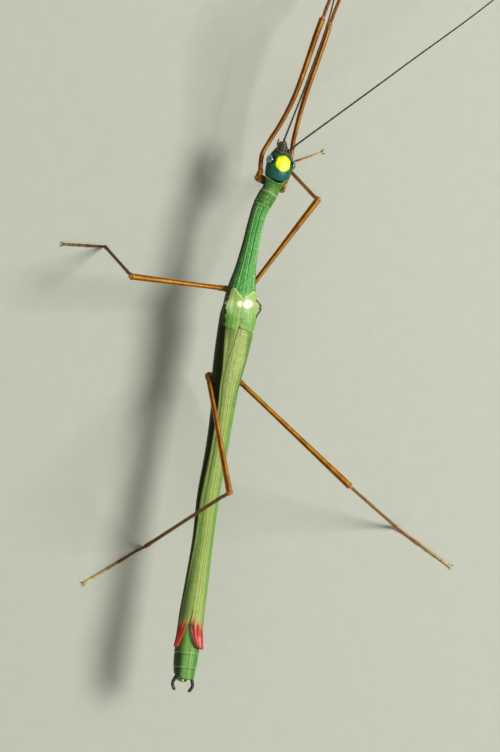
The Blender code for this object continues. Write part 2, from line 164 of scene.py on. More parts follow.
# A femur's and a tibia's radius along them, as a share of their own.
FEMUR_SHAPE = (
    (0, 0.80), (0.02, 0.86), (0.06, 0.88), (0.14, 0.84), (0.3, 0.88), (0.6, 1.0), (0.80, 1.10), (0.90, 1.16),
    (0.95, 1.24), (0.98, 1.16), (1, 0.80),
)
TIBIA_SHAPE = (
    (0, 1.10), (0.02, 1.15), (0.045, 0.95), (0.08, 1.0), (0.2, 1.0), (0.6, 0.96), (0.9, 1.0), (0.97, 1.18), (1, 1.12),
)
TARSUS_JOINTS = (0.0, 0.45, 0.62, 0.75, 0.86, 1.0)
ANKLE_HEIGHT = 0.50
FOOT_START_HEIGHT = 0.46
TOE_HEIGHT = 0.14
GAP = 0.07

GREEN, COLLAR, TERMINAL = (58, 148, 54), (48, 112, 30), (62, 122, 42)
PAINTED_SHADE_GREEN, OLIVE, BELLY = (14, 28, 8), (112, 124, 48), (128, 160, 84)
PALE, CHALK, DARK_LINE = (205, 220, 150), (214, 226, 204), (22, 70, 34)
TEAL, HEAD_BLUE, YELLOW = (4, 92, 58), (3, 74, 66), (250, 232, 14)


# ---------------------------------------------------------------- numbers, curves and colours


def smooth_value(rows, place, column):
    """One column of a table read at a place between its rows, on a smooth curve that doesn't overshoot."""
    keys = [row[0] for row in rows]
    values = [row[column] for row in rows]
    place = min(max(place, keys[0]), keys[-1])
    index = max(i for i in range(len(keys) - 1) if keys[i] <= place)

    def slope(i):
        if i in (0, len(keys) - 1):
            return 0.0 if i else (values[1] - values[0]) / (keys[1] - keys[0])
        before = (values[i] - values[i - 1]) / (keys[i] - keys[i - 1])
        after = (values[i + 1] - values[i]) / (keys[i + 1] - keys[i])
        return 0.0 if before * after <= 0 else 2 * before * after / (before + after)

    span = keys[index + 1] - keys[index]
    t = (place - keys[index]) / span
    start, end = values[index], values[index + 1]
    bend = t * t * (3 - 2 * t)
    return (
        start + (end - start) * bend
        + slope(index) * span * t * (1 - t) ** 2
        - slope(index + 1) * span * t * t * (1 - t)
    )


def table(rows, places, column=1):
    """A whole array of places read from a table."""
    return np.array([smooth_value(rows, place, column) for place in np.ravel(places)]).reshape(np.shape(places))


def ramp(x, start, end):
    """0 before start, 1 after end, smooth between them; start may be above end."""
    t = np.clip((x - start) / (end - start), 0, 1)
    return t * t * (3 - 2 * t)


def window(x, start, full, last, end):
    """0 before start and after end, 1 from full to last, smooth between them."""
    return ramp(x, start, full) * ramp(x, end, last)


def peak(x, centre, width):
    """1 at the centre, falling away on both sides like a bell."""
    return np.exp(-(((x - centre) / width) ** 2))


def mottle(points, size, seed):
    """Smooth noise from 0 to 1, the same each run, with lumps of about that size."""
    scaled = np.asarray(points) / size
    cell = np.floor(scaled).astype(np.int64)
    part = scaled - cell
    part = part * part * (3 - 2 * part)
    total = np.zeros(scaled.shape[:-1])
    for corner in itertools.product((0, 1), repeat=3):
        # Large primes and shifts scatter the cell's three numbers into one that looks random.
        key = (cell + np.array(corner)) @ np.array((73856093, 19349663, 83492791)) + seed * 7919
        key = (key ^ (key >> 13)) * 1274126177 & 0xFFFFFFFF
        value = ((key ^ (key >> 16)) & 0xFFFF) / 65535.0
        weight = np.prod(np.where(np.array(corner) == 1, part, 1 - part), axis=-1)
        total += value * weight
    return total


def blotches(points, size, seed, low, high):
    """Patches of mottle: 0 where it is below low, 1 where it is above high."""
    return ramp(mottle(points, size, seed), low, high)


def curve_points(anchors, count):
    """Points at even steps of a smooth curve through the anchors."""
    rows = [(float(i), *anchor) for i, anchor in enumerate(anchors)]
    places = np.linspace(0.0, len(anchors) - 1, count)
    return [Vector([smooth_value(rows, place, column) for column in (1, 2, 3)]) for place in places]


def heading(turn, rise=0.0):
    """A unit direction, turned from straight ahead towards the insect's left and raised, in degrees."""
    turn, rise = math.radians(turn), math.radians(rise)
    return Vector((math.sin(turn) * math.cos(rise), -math.cos(turn) * math.cos(rise), math.sin(rise)))


def colour(red, green, blue):
    """A linear colour from the 0 to 255 values of a screen."""
    values = np.array((red, green, blue)) / 255.0
    return np.where(values <= 0.04045, values / 12.92, ((values + 0.055) / 1.055) ** 2.4)


def plain(tint, points):
    """The same colour at every point."""
    return np.broadcast_to(colour(*tint), points.shape)


def coats(tint, *layers):
    """The points' tint with colours laid over it in turn, each by an amount from 0 to 1."""
    for layer, amount in layers:
        tint = tint + (colour(*layer) - tint) * np.clip(amount, 0, 1)[..., None]
    return tint


# ---------------------------------------------------------------- the trunk's and the head's own places


def trunk_point(back):
    return Vector((smooth_value(TRUNK, back, 1), back, BODY_AXIS_HEIGHT + smooth_value(TRUNK, back, 2)))


def along_trunk(back):
    """The trunk's direction towards its tail."""
    step = 0.2
    return (trunk_point(back + step) - trunk_point(back - step)).normalized()


def trunk_frame(back):
    """The trunk's axis point, its left and its up direction, and its half width and half height there."""
    along = along_trunk(back)
    left = along.cross(UP).normalized()
    rise = left.cross(along).normalized()
    return trunk_point(back), left, rise, smooth_value(TRUNK, back, 3), smooth_value(TRUNK, back, 4)


def section_point(frame_at, turn, inset):
    """A point inside the trunk's outline by inset, or outside it if inset is negative."""
    centre, left, rise, wide, high = frame_at
    angle = math.radians(turn)
    return centre + left * (wide - inset) * math.sin(angle) + rise * (high - inset) * math.cos(angle)


def frame_numbers(backs):
    """A row for each distance back, with trunk_frame's point, directions and sizes in one line of eleven numbers."""
    frames = [trunk_frame(back) for back in backs]
    return np.array([(*centre, *left, *rise, wide, high) for centre, left, rise, wide, high in frames])


def outline(numbers, turn, lift):
    """Points round the trunk, where the last axis of numbers has frame_numbers' eleven."""
    centre, left, rise = numbers[..., :3], numbers[..., 3:6], numbers[..., 6:9]
    wide, high = numbers[..., 9], numbers[..., 10]
    angle = np.radians(turn)
    across, up = (wide + lift) * np.sin(angle), (high + lift) * np.cos(angle)
    return centre + left * across[..., None] + rise * up[..., None]


def trunk_surface(backs, turn, lift):
    """Points of a grid whose rows each stay at one distance back."""
    return outline(frame_numbers(backs)[:, None, :], turn, lift)


def free_surface(back, turn, lift):
    """Points of a grid with a distance back of its own at each point."""
    places = np.linspace(back.min(), back.max(), 160)
    columns = frame_numbers(places).T
    return outline(np.stack([np.interp(back, places, column) for column in columns], axis=-1), turn, lift)


HEAD = (
    Matrix.Translation(Vector(HEAD_CENTRE) + UP * BODY_AXIS_HEIGHT)
    @ Matrix.Rotation(-HEAD_TURN, 4, "Z")
    @ Matrix.Rotation(HEAD_DIP, 4, "X")
    @ Matrix.Rotation(HEAD_LEAN, 4, "Y")
)
HEAD_LEFT, HEAD_AHEAD, HEAD_UP = (HEAD.to_3x3() @ Vector(axis) for axis in ((1, 0, 0), (0, -1, 0), (0, 0, 1)))


def head_place(ahead, side, rise):
    return HEAD @ Vector((side, -ahead, rise))


def from_head(ahead, side, rise):
    """Arrays in the head's own axes, as points of the model."""
    local = np.stack(np.broadcast_arrays(side, -ahead, rise, 1.0), axis=-1)
    return local @ np.array(HEAD).T[:, :3]


def frame_shift():
    """How far the frame is moved from where the model is drawn."""
    eyes = [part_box(node) for node in ("eye_left", "eye_right")]
    middle = sum((low + high for low, high in eyes), Vector()) / 4 / MM
    drawn = head_place(EYE_AHEAD, 0, EYE_RISE)
    return Vector((middle.x - drawn.x, middle.y - drawn.y, 0))


SHIFT = frame_shift()


# ---------------------------------------------------------------- meshes


def sweep(points, radii, sides, shape=None, floor=None):
    """Rings along a path, turned as little as possible. shape gives the radius's share at each angle."""
    angles = np.linspace(0, 2 * math.pi, sides, endpoint=False)
    share = shape(angles) if shape else np.ones(sides)
    rings, side = [], None
    for i, point in enumerate(points):
        along = (points[min(i + 1, len(points) - 1)] - points[max(i - 1, 0)]).normalized()
        if side is None:
            side = along.cross(UP) if abs(along.z) < 0.95 else along.cross(Vector((1, 0, 0)))
        side = (side - along * side.dot(along)).normalized()
        other = side.cross(along)
        size = radii[i] * share
        rings.append(np.array(point) + np.outer(size * np.sin(angles), side) + np.outer(size * np.cos(angles), other))
    rings = np.array(rings)
    if floor is not None:
        rings[..., 2] = np.maximum(rings[..., 2], floor)
    return rings


ROUND_STEPS = 5


def rounded(points, radii):
    """A path and its radii with a half round added at each end."""
    radii = list(radii)
    head = (points[0] - points[1]).normalized()
    tail = (points[-1] - points[-2]).normalized()
    turns = [math.radians(88) * (i + 1) / ROUND_STEPS for i in range(ROUND_STEPS)]
    front = [(points[0] + head * radii[0] * math.sin(t), radii[0] * math.cos(t)) for t in reversed(turns)]
    rear = [(points[-1] + tail * radii[-1] * math.sin(t), radii[-1] * math.cos(t)) for t in turns]
    return [p for p, _ in front] + points + [p for p, _ in rear], [r for _, r in front] + radii + [r for _, r in rear]


def share_of(rings):
    """How far each ring is along a swept tube, from 0 to 1."""
    return np.linspace(0, 1, len(rings))[:, None]


class Build:
    """One mesh gathered from sheets of points, with a tint, three marks and a place in millimetres at each point.

    A tint is a colour, a function that gives the tint of an array of points, or linear values.
    """

    def __init__(self):
        self.points, self.tints, self.marks, self.uvs, self.faces = [], [], [], [], []
        self.count = 0

    def sheet(self, points, tint, marks=None, uv=None):
        """Rows of points, each a closed ring. The first and the last are capped."""
        rows, columns = points.shape[:2]
        if callable(tint):
            tint = tint(points)
        elif isinstance(tint, tuple):
            tint = colour(*tint)
        if marks is None:
            marks = np.zeros(points.shape)
        if uv is None:
            along = np.cumsum(np.linalg.norm(np.diff(points[:, 0], axis=0, prepend=points[:1, 0]), axis=1))
            around = np.linspace(0, 1, columns, endpoint=False)
            uv = np.stack(np.broadcast_arrays(along[:, None], around[None, :]), axis=-1)
        self.points.append(points.reshape(-1, 3))
        self.tints.append(np.broadcast_to(tint, points.shape).reshape(-1, 3))
        self.marks.append(marks.reshape(-1, 3))
        self.uvs.append(uv.reshape(-1, 2))
        near = self.count + np.arange(rows * columns).reshape(rows, columns)
        far = np.roll(near, -1, axis=1)
        quads = np.stack((near[:-1], near[1:], far[1:], far[:-1]), axis=-1).reshape(-1, 4)
        self.faces += [*quads.tolist(), near[0].tolist(), near[-1, ::-1].tolist()]
        self.count += rows * columns

    def tube(self, path, radii, sides, tint, shape=None, floor=None):
        """A tube with round ends, swept along a path. It gives its rings."""
        rings = sweep(*rounded(path, radii), sides, shape, floor)
        self.sheet(rings, tint)
        return rings

    def ball(self, centre, axes, radii, tint, rows=24, columns=30):
        """An ellipsoid, its poles on the first axis."""
        angles = np.linspace(math.radians(2), math.radians(178), rows)
        turns = np.linspace(0, 2 * math.pi, columns, endpoint=False)
        first, second, third = (np.array(axis) for axis in axes)
        points = (
            np.array(centre)
            + (-radii[0] * np.cos(angles))[:, None, None] * first
            + (radii[1] * np.sin(angles)[:, None] * np.sin(turns))[..., None] * second
            + (radii[2] * np.sin(angles)[:, None] * np.cos(turns))[..., None] * third
        )
        self.sheet(points, tint)

    def hairs(self, rings, tint, count, length, seed, lean=0.8):
        """Fine hairs on a swept tube: thin three-sided cones that lean towards its tip."""
        rng = np.random.default_rng(seed)
        rows, columns = rings.shape[:2]
        radius, floor = 0.014, 0.02
        for _ in range(count):
            i = int(rng.integers(6, rows - 7))
            j = int(rng.integers(0, columns))
            root = rings[i, j]
            out = root - rings[i].mean(axis=0)
            out /= max(np.linalg.norm(out), 1e-6)
            along = rings[i + 1, j] - rings[i - 1, j]
            along /= max(np.linalg.norm(along), 1e-6)
            reach = length * rng.uniform(0.6, 1.2)
            tip = root + (out + along * lean) * reach * 0.7
            if tip[2] < floor:
                continue
            across = np.cross(out, along)
            corners = [across * radius * math.cos(t) + along * radius * math.sin(t) for t in (0, 2.1, 4.2)]
            base = root - out * 0.02 + np.array(corners)
            self.sheet(np.array((base, (base + tip) / 2 + out * 0.01, tip + (base - root) * 0.12)), tint)

    def finish(self, name, material, slot, nodes=(), sharp=0):
        """The mesh as a piece that rides on the body and replaces its nodes, sharp where faces meet at that angle."""
        data = bpy.data.meshes.new(name)
        points = (np.concatenate(self.points) + np.array(SHIFT)) * MM
        data.from_pydata(points.tolist(), [], self.faces)
        for label, values in (("tint", self.tints), ("marks", self.marks)):
            values = np.concatenate(values)
            values = np.column_stack((values, np.ones(len(values)))).astype(np.float32)
            data.attributes.new(label, "FLOAT_COLOR", "POINT").data.foreach_set("color", values.ravel())
        corners = np.zeros(len(data.loops), np.int32)
        data.loops.foreach_get("vertex_index", corners)
        layer = data.uv_layers.new(name="UVMap")
        layer.data.foreach_set("uv", np.concatenate(self.uvs)[corners].astype(np.float32).ravel())
        data.shade_smooth()
        if sharp:
            data.set_sharp_from_angle(angle=math.radians(sharp))
        data.materials.append(material)
        data.validate()
        obj = bpy.data.objects.new(name, data)
        bpy.context.scene.collection.objects.link(obj)
        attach(obj, "root")
        if nodes:
            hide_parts(*nodes)
        return obj


# ---------------------------------------------------------------- materials


class Material:
    """A Principled material whose plain numbers are set on the shader itself, and the nodes that feed it."""

    def __init__(self, name, roughness, coat=0.0, under_skin=0.0, shine=0.5):
        self.made = bpy.data.materials.new(name)
        self.made.use_nodes = True
        self.tree = self.made.node_tree
        self.shader = self.tree.nodes["Principled BSDF"]
        values = {"Roughness": roughness, "Coat Weight": coat, "Coat Roughness": 0.12, "Specular IOR Level": shine}
        if under_skin:
            values["Subsurface Weight"] = under_skin
            values["Subsurface Radius"] = (1.0, 0.9, 0.35)
            values["Subsurface Scale"] = 0.00035
        for key, value in values.items():
            self.shader.inputs[key].default_value = value
        place = self.node("TexCoord").outputs["Object"]
        self.place_in_mm = self.node("VectorMath", operation="SCALE", in0=place, Scale=1000.0).outputs[0]

    def node(self, kind, **values):
        """A node with its inputs set by name (spaces written as underscores) or by number; a socket is linked."""
        node = self.tree.nodes.new("ShaderNode" + kind)
        for key, value in values.items():
            if hasattr(node, key) and not key[0].isupper():
                setattr(node, key, value)
                continue
            socket = node.inputs[int(key[2:])] if key.startswith("in") else node.inputs[key.replace("_", " ")]
            if isinstance(value, bpy.types.NodeSocket):
                self.tree.links.new(value, socket)
            else:
                socket.default_value = value
        return node

    def attribute(self, name):
        return self.node("Attribute", attribute_name=name).outputs["Color"]

    def noise(self, scale, detail, roughness=0.5):
        return self.node(
            "TexNoise", Vector=self.place_in_mm, Scale=scale, Detail=detail, Roughness=roughness
        ).outputs["Fac"]

    def spread(self, value, low, high, to_low, to_high):
        """A value between low and high, as the one between to_low and to_high."""
        return self.node(
            "MapRange", Value=value, From_Min=low, From_Max=high, To_Min=to_low, To_Max=to_high
        ).outputs[0]

    def product(self, first, second):
        return self.node("Math", operation="MULTIPLY", in0=first, in1=second).outputs[0]

    def total(self, first, second):
        return self.node("Math", operation="ADD", in0=first, in1=second).outputs[0]

    def toned(self, tint, **changes):
        return self.node("HueSaturation", Color=tint, **changes).outputs[0]

    def mixed(self, amount, first, second):
        return self.node("Mix", data_type="RGBA", in0=amount, in6=first, in7=second).outputs[2]

    def feed(self, name, socket):
        self.tree.links.new(socket, self.shader.inputs[name])

    def finish(self, tint, gloss, height):
        """The material with its colour, its roughness and its relief in millimetres linked."""
        bump = self.node("Bump", Strength=1.0, Distance=MM, Height=height)
        self.feed("Base Color", tint)
        self.feed("Roughness", gloss)
        self.feed("Normal", bump.outputs[0])
        return self.made


# Each shell: roughness, coat, light under the skin, shine, the size and share of its patches, the size and height
# of its grain, and the size and depth of its pits.
SHELLS = {
    "body_shell": (0.50, 0.03, 0.08, 0.5, 0.7, 0.18, 0.06, 0.014, 0.13, 0.012),
    "head_shell": (0.40, 0.08, 0.03, 0.35, 0.6, 0.14, 0.06, 0.003, 0.10, 0.003),
    "tegmen_shell": (0.50, 0.04, 0.10, 0.5, 0.7, 0.14, 0.08, 0.010, 0.13, 0.012),
    "leg_shell": (0.42, 0.0, 0.06, 0.22, 0.8, 0.2, 0.06, 0.006, 0.11, 0.006),
    "thread_shell": (0.42, 0.10, 0.0, 0.5, 0.7, 0.14, 0.05, 0.006, 0, 0),
    "black_shell": (0.30, 0.30, 0.0, 0.5, 0.4, 0.14, 0.05, 0.010, 0.09, 0.012),
    "mouth_shell": (0.32, 0.25, 0.05, 0.5, 0.4, 0.14, 0.05, 0.006, 0, 0),
    "claw_shell": (0.25, 0.30, 0.0, 0.5, 0.3, 0.14, 0.04, 0.004, 0, 0),
    "tail_shell": (0.34, 0.25, 0.10, 0.5, 0.4, 0.14, 0.05, 0.008, 0, 0),
}


def shell_material(name):
    """Chitin with its painted tint: soft patches of tone, uneven gloss, a fine grain and, on some, small pits."""
    roughness, coat, under_skin, shine, patch, patch_share, grain, grain_height, pit, pit_depth = SHELLS[name]
    skin = Material(name, roughness, coat, under_skin, shine)
    patches, fine = skin.noise(1 / patch, 5.0, 0.62), skin.noise(1 / grain, 3.0, 0.6)
    tone = skin.spread(patches, 0.3, 0.7, 1 - patch_share, 1 + patch_share)
    tone = skin.product(tone, skin.spread(fine, 0.3, 0.7, 0.93, 1.07))
    hue = skin.spread(patches, 0.25, 0.75, 0.49, 0.51)
    height = skin.product(fine, grain_height)
    if pit:
        cells = skin.node("TexVoronoi", Vector=skin.place_in_mm, Scale=1 / pit).outputs["Distance"]
        height = skin.total(height, skin.spread(cells, 0.1, 0.6, pit_depth, 0.0))
    gloss = skin.spread(fine, 0.3, 0.7, roughness - 0.06, roughness + 0.10)
    return skin.finish(skin.toned(skin.attribute("tint"), Value=tone, Hue=hue), gloss, height)


def wing_material():
    """A folded membrane: the painted tint, and ladders and nets of fine veins where the marks ask for them."""
    skin = Material("wing_membrane", 0.40, 0.15, 0.12)
    uv = skin.node("TexCoord").outputs["UV"]
    ladder_share, net_share, dull = skin.node("SeparateColor", Color=skin.attribute("marks")).outputs
    wander = skin.node("TexNoise", Vector=skin.place_in_mm, Scale=1.6, Detail=2.0).outputs["Color"]
    nudge = skin.node("VectorMath", operation="SCALE", in0=wander, Scale=0.08).outputs[0]
    bent = skin.node("VectorMath", operation="ADD", in0=uv, in1=nudge).outputs[0]
    ladder = skin.node(
        "TexBrick", Vector=bent, Scale=1.0, Mortar_Size=0.020, Mortar_Smooth=0.5, Brick_Width=0.165,
        Row_Height=0.46, offset=0.0, offset_frequency=2,
    ).outputs["Fac"]
    net = skin.node(
        "TexVoronoi", Vector=bent, Scale=8.8, feature="DISTANCE_TO_EDGE", voronoi_dimensions="2D"
    ).outputs["Distance"]
    net = skin.spread(net, 0.0, 0.17, 1.0, 0.0)
    veins = skin.total(skin.product(ladder, ladder_share), skin.product(net, net_share))
    patches, fine = skin.noise(0.9, 5.0, 0.6), skin.noise(11.0, 3.0)
    tone = skin.product(skin.spread(patches, 0.3, 0.7, 0.88, 1.12), skin.spread(fine, 0.3, 0.7, 0.92, 1.08))
    membrane = skin.toned(skin.attribute("tint"), Value=tone)
    vein_tint = skin.toned(membrane, Value=0.50, Saturation=1.10, Hue=0.485)
    skin.feed("Specular IOR Level", skin.spread(dull, 0.0, 1.0, 0.5, 0.1))
    skin.feed("Coat Weight", skin.spread(dull, 0.0, 1.0, 0.12, 0.0))
    height = skin.total(skin.product(veins, 0.012), skin.product(fine, 0.008))
    return skin.finish(skin.mixed(veins, membrane, vein_tint), skin.spread(fine, 0.3, 0.7, 0.38, 0.54), height)


def eye_material():
    """A compound eye: a painted tint under a clear coat, with rows of tiny facets."""
    skin = Material("eye_facets", 0.16, 0.9)
    facets = skin.node("TexVoronoi", Vector=skin.place_in_mm, Scale=24.0, Randomness=0.25).outputs["Distance"]
    shade = skin.noise(5.0, 4.0)
    tone = skin.product(skin.spread(facets, 0.2, 0.6, 1.06, 0.86), skin.spread(shade, 0.3, 0.7, 0.86, 1.12))
    return skin.finish(
        skin.toned(skin.attribute("tint"), Value=tone),
        skin.spread(shade, 0.3, 0.7, 0.12, 0.24),
        skin.spread(facets, 0.0, 0.6, 0.004, 0.0),
    )


# ---------------------------------------------------------------- the trunk

# The neck inside the collar: share of the way out to its rim, and distance behind it.
NECK = ((0.15, 0.16), (0.45, 0.13), (0.72, 0.08), (0.87, 0.03), (0.94, -0.02), (0.975, -0.03))
# The seam between the fore wings: distance back, and degrees from the top. The right one lies over the left.
TEGMEN_SEAM = ((-0.5, 6.5), (0.3, 8.0), (1.0, 12.0), (2.0, 11.5), (3.1, 10.0))


def tegmen_front(turn):
    """How far back the fore wings' front edge lies: it runs forward from the seam to the shoulders."""
    return -0.37 - 0.84 * np.clip(abs(turn - 6.5) / 38, 0, 1) + 0.45 * ramp(abs(turn), 62, 84)


def collar_rim(turn):
    """The front rim of the collar, which clasps the rear of the head and reaches further on its right side."""
    angle, down = np.radians(turn), abs(turn)
    ahead = -2.05 + np.sin(angle) ** 2 * np.where(turn > 0, 0.50, 0.86) * ramp(down, 175, 100)
    wide = (1.20 + 0.14 * ramp(turn, 25, 80) + 0.04 * ramp(-turn, 25, 80)) * (0.70 + 0.30 * ramp(down, 165, 115))
    rise = np.where(down < 90, 0.94, 0.72) * np.cos(angle) - 0.08
    return from_head(ahead, np.sin(angle) * wide, rise)


def trunk_rows():
    """Where the trunk's rings are: closer together at the segments' ends."""
    rows = [*np.arange(TRUNK_START, -12.6, 0.03), *np.arange(-12.6, 40.8, 0.085)]
    for end in SEGMENT_ENDS:
        rows += list(end + np.linspace(-0.16, 0.20, 11))
    return np.array(sorted(set(np.round(rows, 4))))


def mesothorax_share(back):
    return window(back, -10.45, -10.3, -0.9, -0.7)


def side_keel(back):
    """How far from the top the mesothorax's two keels run."""
    return 44 - 5 * ramp(back, -9.5, -5.5)


def collar_wave(back, turn):
    """The distance back, waved as the collar's rims are."""
    return back + 0.10 * np.cos(np.radians(turn * 2))


def trunk_relief(back, turn, across):
    """The trunk's relief: overlapping segment rims, keels, plates and furrows. across is measured over the top."""
    down = abs(turn)
    lift = np.zeros(np.broadcast(back, turn).shape)
    for end in SEGMENT_ENDS:
        size = 0.5 if end > 35.5 else 0.75 if end < -5 else 0.15
        size = size + (0.8 - size) * ramp(down, 118, 130)
        gap = back - end
        rim = 0.035 * peak(gap, -0.12, 0.16) - 0.085 * peak(gap, 0.05, 0.055)
        lift += size * (rim - 0.03 * window(gap, 0, 0.05, 0.1, 0.9))
    on_front, on_rear = mesothorax_share(back), ramp(back, 34.8, 35.3)
    on_collar, on_belly = ramp(back, -10.35, -10.5), ramp(back, 8.5, 9)
    # Keels and furrows along the sides: where along the trunk, degrees from the top, width in degrees and height.
    for where, angle, width, height in (
        (on_front, side_keel(back), 3.4, 0.05),
        (on_front, 86, 3.5, -0.06),
        (on_front, 98, 7, 0.05),
        (on_front, 128, 4, -0.05),
        (on_collar, 84, 4, -0.06),
        (on_rear, 46, 6, 0.02),
        (on_belly, 104, 4, -0.06),
        (on_belly, 114, 6, 0.04),
        (on_belly, 152, 5, -0.03),
    ):
        lift += where * height * peak(down, angle, width)
    # The same down the middle of the back, with the distance from it and the width in millimetres.
    for where, distance, width, height in (
        (on_front, 0, 0.05, 0.035),
        (on_front, 0.13, 0.06, -0.03),
        (on_collar * ramp(back, -12.8, -12.6), 0, 0.05, -0.04),
        (on_rear, 0, 0.09, 0.055),
    ):
        lift += where * height * peak(abs(across), distance, width)
    # Furrows across the collar.
    lift -= on_collar * 0.05 * peak(collar_wave(back, turn), -11.98, 0.10)
    lift += on_collar * 0.02 * peak(back, -11.75, 0.16)
    lift -= 0.09 * peak(back, -12.35, 0.75)
    return lift


def trunk_tint(back, turn, across, flat, granules):
    """The trunk's colours, from the neck back and from the back down to the belly."""
    down = abs(turn)
    noise, fine = mottle(flat, 0.55, 9), mottle(flat, 0.16, 10)
    on_front, on_middle = mesothorax_share(back), window(back, -10.3, -10, -1, 0)
    on_collar, on_rear = ramp(back, -10.4, -10.7), ramp(back, 35, 35.4)
    tint = coats(
        plain(GREEN, flat),
        (COLLAR, ramp(back, -9.9, -10.6)),
        (TERMINAL, ramp(back, 6, 9)),
        ((50, 134, 58), 0.55 * noise * on_middle),
        ((120, 196, 104), 0.45 * granules * on_middle),
        (OLIVE, 0.55 * ramp(down, 70, 96) * ramp(back, -0.9, 0.4)),
        # Painted shade: near-black down both flanks of the collar and the mesothorax, and on the trunk's sides below
        # the wings' edges.
        (PAINTED_SHADE_GREEN, 0.95 * ramp(down, 54, 70 + 4 * ramp(back, -9, -11)) * window(back, -12.9, -12.0, -1, 1)),
        ((22, 36, 10), 0.9 * ramp(down, 70, 90) * window(back, -0.9, 0.4, 34, 36)),
        (BELLY, 0.9 * ramp(down, 118, 140)),
    )
    below = ramp(down, 108, 124)
    for end in SEGMENT_ENDS[1:]:
        tint = coats(
            tint,
            (DARK_LINE, 0.45 * below * peak(back, end + 0.05, 0.07)),
            (PALE, 0.35 * below * peak(back, end - 0.16, 0.12)),
        )
    dots = 0.55 + 0.45 * np.sin(back * 2 * math.pi / 0.42)
    streaks = 0.5 + 0.5 * np.sin(turn * 0.42 + 2.2 * mottle(flat, 1.1, 12))
    last = ramp(back, 37.5, 38.2)
    # Painted shade down the left side of the last segments.
    painted_left_shade = ramp(turn, 46 - 28 * last, 76 - 20 * last) * ramp(turn, 124, 106)
    tint = coats(
        tint,
        ((92, 124, 60), 0.5 * ramp(down, 172, 178) * ramp(back, -10, -9)),
        ((84, 112, 36), 0.7 * window(back, 34.5, 35.2, 37.8, 38.3)),
        ((10, 26, 8), 0.90 * ramp(back, 33, 35.3) * painted_left_shade),
        # The mesothorax's dotted keels, granules, streaks and middle line.
        (PALE, 0.62 * dots * on_front * peak(down, side_keel(back), 3.2)),
        (PALE, 0.14 * granules * on_front * ramp(fine, 0.35, 0.7)),
        ((40, 112, 50), 0.30 * on_front * streaks ** 3 * ramp(down, 62, 50)),
        ((130, 196, 110), 0.22 * on_front * (1 - streaks) ** 3),
        (DARK_LINE, 0.85 * on_front * peak(across, 0.02, 0.055) * ramp(back, -3.6, -4.6)),
        # The collar, with its pale rims.
        (DARK_LINE, 0.5 * peak(across, 0, 0.06) * window(back, -12.5, -12.2, -10.6, -10.3)),
        (PALE, 0.35 * peak(collar_wave(back, turn), -11.86, 0.08) * ramp(down, 75, 60)),
        (CHALK, 0.95 * ramp(back, -12.92, -12.95) * ramp(down, 110, 90)),
        ((150, 190, 120), 0.3 * peak(back, -12.1, 0.30) * peak(turn, 10, 30)),
        ((60, 118, 46), 0.4 * ramp(noise, 0.45, 0.8) * on_collar),
        ((140, 176, 70), 0.4 * ramp(fine, 0.5, 0.8) * on_collar),
        (PALE, 0.55 * peak(back, -10.46, 0.045) * ramp(down, 75, 55)),
        (DARK_LINE, 0.5 * peak(back, -10.58, 0.05) * ramp(down, 75, 55)),
        # In front of the fore wings.
        ((128, 178, 82), 0.6 * ramp(back, -1.0, -0.7) * ramp(abs(turn - 6.5), 34, 20)),
    )
    for end in SEGMENT_ENDS[8:]:
        tint = coats(
            tint, (DARK_LINE, 0.5 * peak(back, end + 0.05, 0.05)), (PALE, 0.3 * peak(back, end - 0.10, 0.05))
        )
    return coats(
        tint,
        (DARK_LINE, 0.4 * on_rear * peak(abs(across + 0.12), 0.12, 0.06)),
        ((190, 196, 152), 0.55 * on_rear * peak(across, -0.10, 0.055) * ramp(fine, 0.2, 0.5)),
        ((100, 160, 76), 0.35 * noise * on_rear * ramp(turn, 50, 20)),
    )


def add_trunk(material):
    """One skin from the neck to the last segment, drawn in where the wings lie on it."""
    backs = trunk_rows()
    back, turn = backs[:, None], np.linspace(-180, 180, 168, endpoint=False)[None, :]
    down = abs(turn)
    across = np.radians(turn) * table(TRUNK, back, 3)
    lift = trunk_relief(back, turn, across)
    front = tegmen_front(turn)
    lift -= WING_ROOM * window(back, front, front + 0.25, 33.2, 34.2) * ramp(down, 90, 84)
    tips = ramp(back, 33.2, 34.2) * (1 - ramp(back, WING_END, WING_END + 0.2))
    lift -= tips * 0.10 * ramp(down, 96, 84) * ramp(back, 37.5, 36.0)
    flat = trunk_surface(backs, turn, lift)
    granules = blotches(flat, 0.13, 3, 0.52, 0.85)
    rough = window(back, -10.4, -10.2, -0.8, -0.5) + 0.35 * ramp(back, 35, 35.4)
    lift = lift + 0.020 * granules * rough + 0.008 * (mottle(flat, 0.45, 5) - 0.5)
    points = trunk_surface(backs, turn, lift)
    # The last segment's end is drawn in at its sides.
    drawn = 0.34 * (1 - np.cos(np.radians(np.minimum(down, 90))))
    to_tail = np.array(along_trunk(backs[-1]))
    points = points - to_tail * (drawn * ramp(back, 39.9, TRUNK_END))[..., None]
    points = points + (collar_rim(turn) - points) * ramp(back, -12.42, TRUNK_START)[..., None]

    middle, along = np.array(trunk_point(-13.0)), np.array(along_trunk(backs[0]))
    neck = np.array([middle + (points[0] - middle) * share + along * drop for share, drop in NECK])
    neck_tint = plain((20, 46, 30), neck).copy()
    neck_tint[4:] = colour(*CHALK)
    end_lift = np.array((-0.05, -0.16, -0.34, -0.60))[:, None]
    end = trunk_surface(TRUNK_END + np.array((0, 0.04, 0.07, 0.09)), turn, end_lift) - to_tail * drawn[..., None]
    tint = trunk_tint(back, turn, across, flat, granules)
    build = Build()
    build.sheet(np.concatenate((neck, points, end)), np.concatenate((neck_tint, tint, plain(TERMINAL, end) * 0.7)))
    build.finish("trunk_skin", material, "thorax_green", TRUNK_NODES, sharp=70)


# ---------------------------------------------------------------- the head


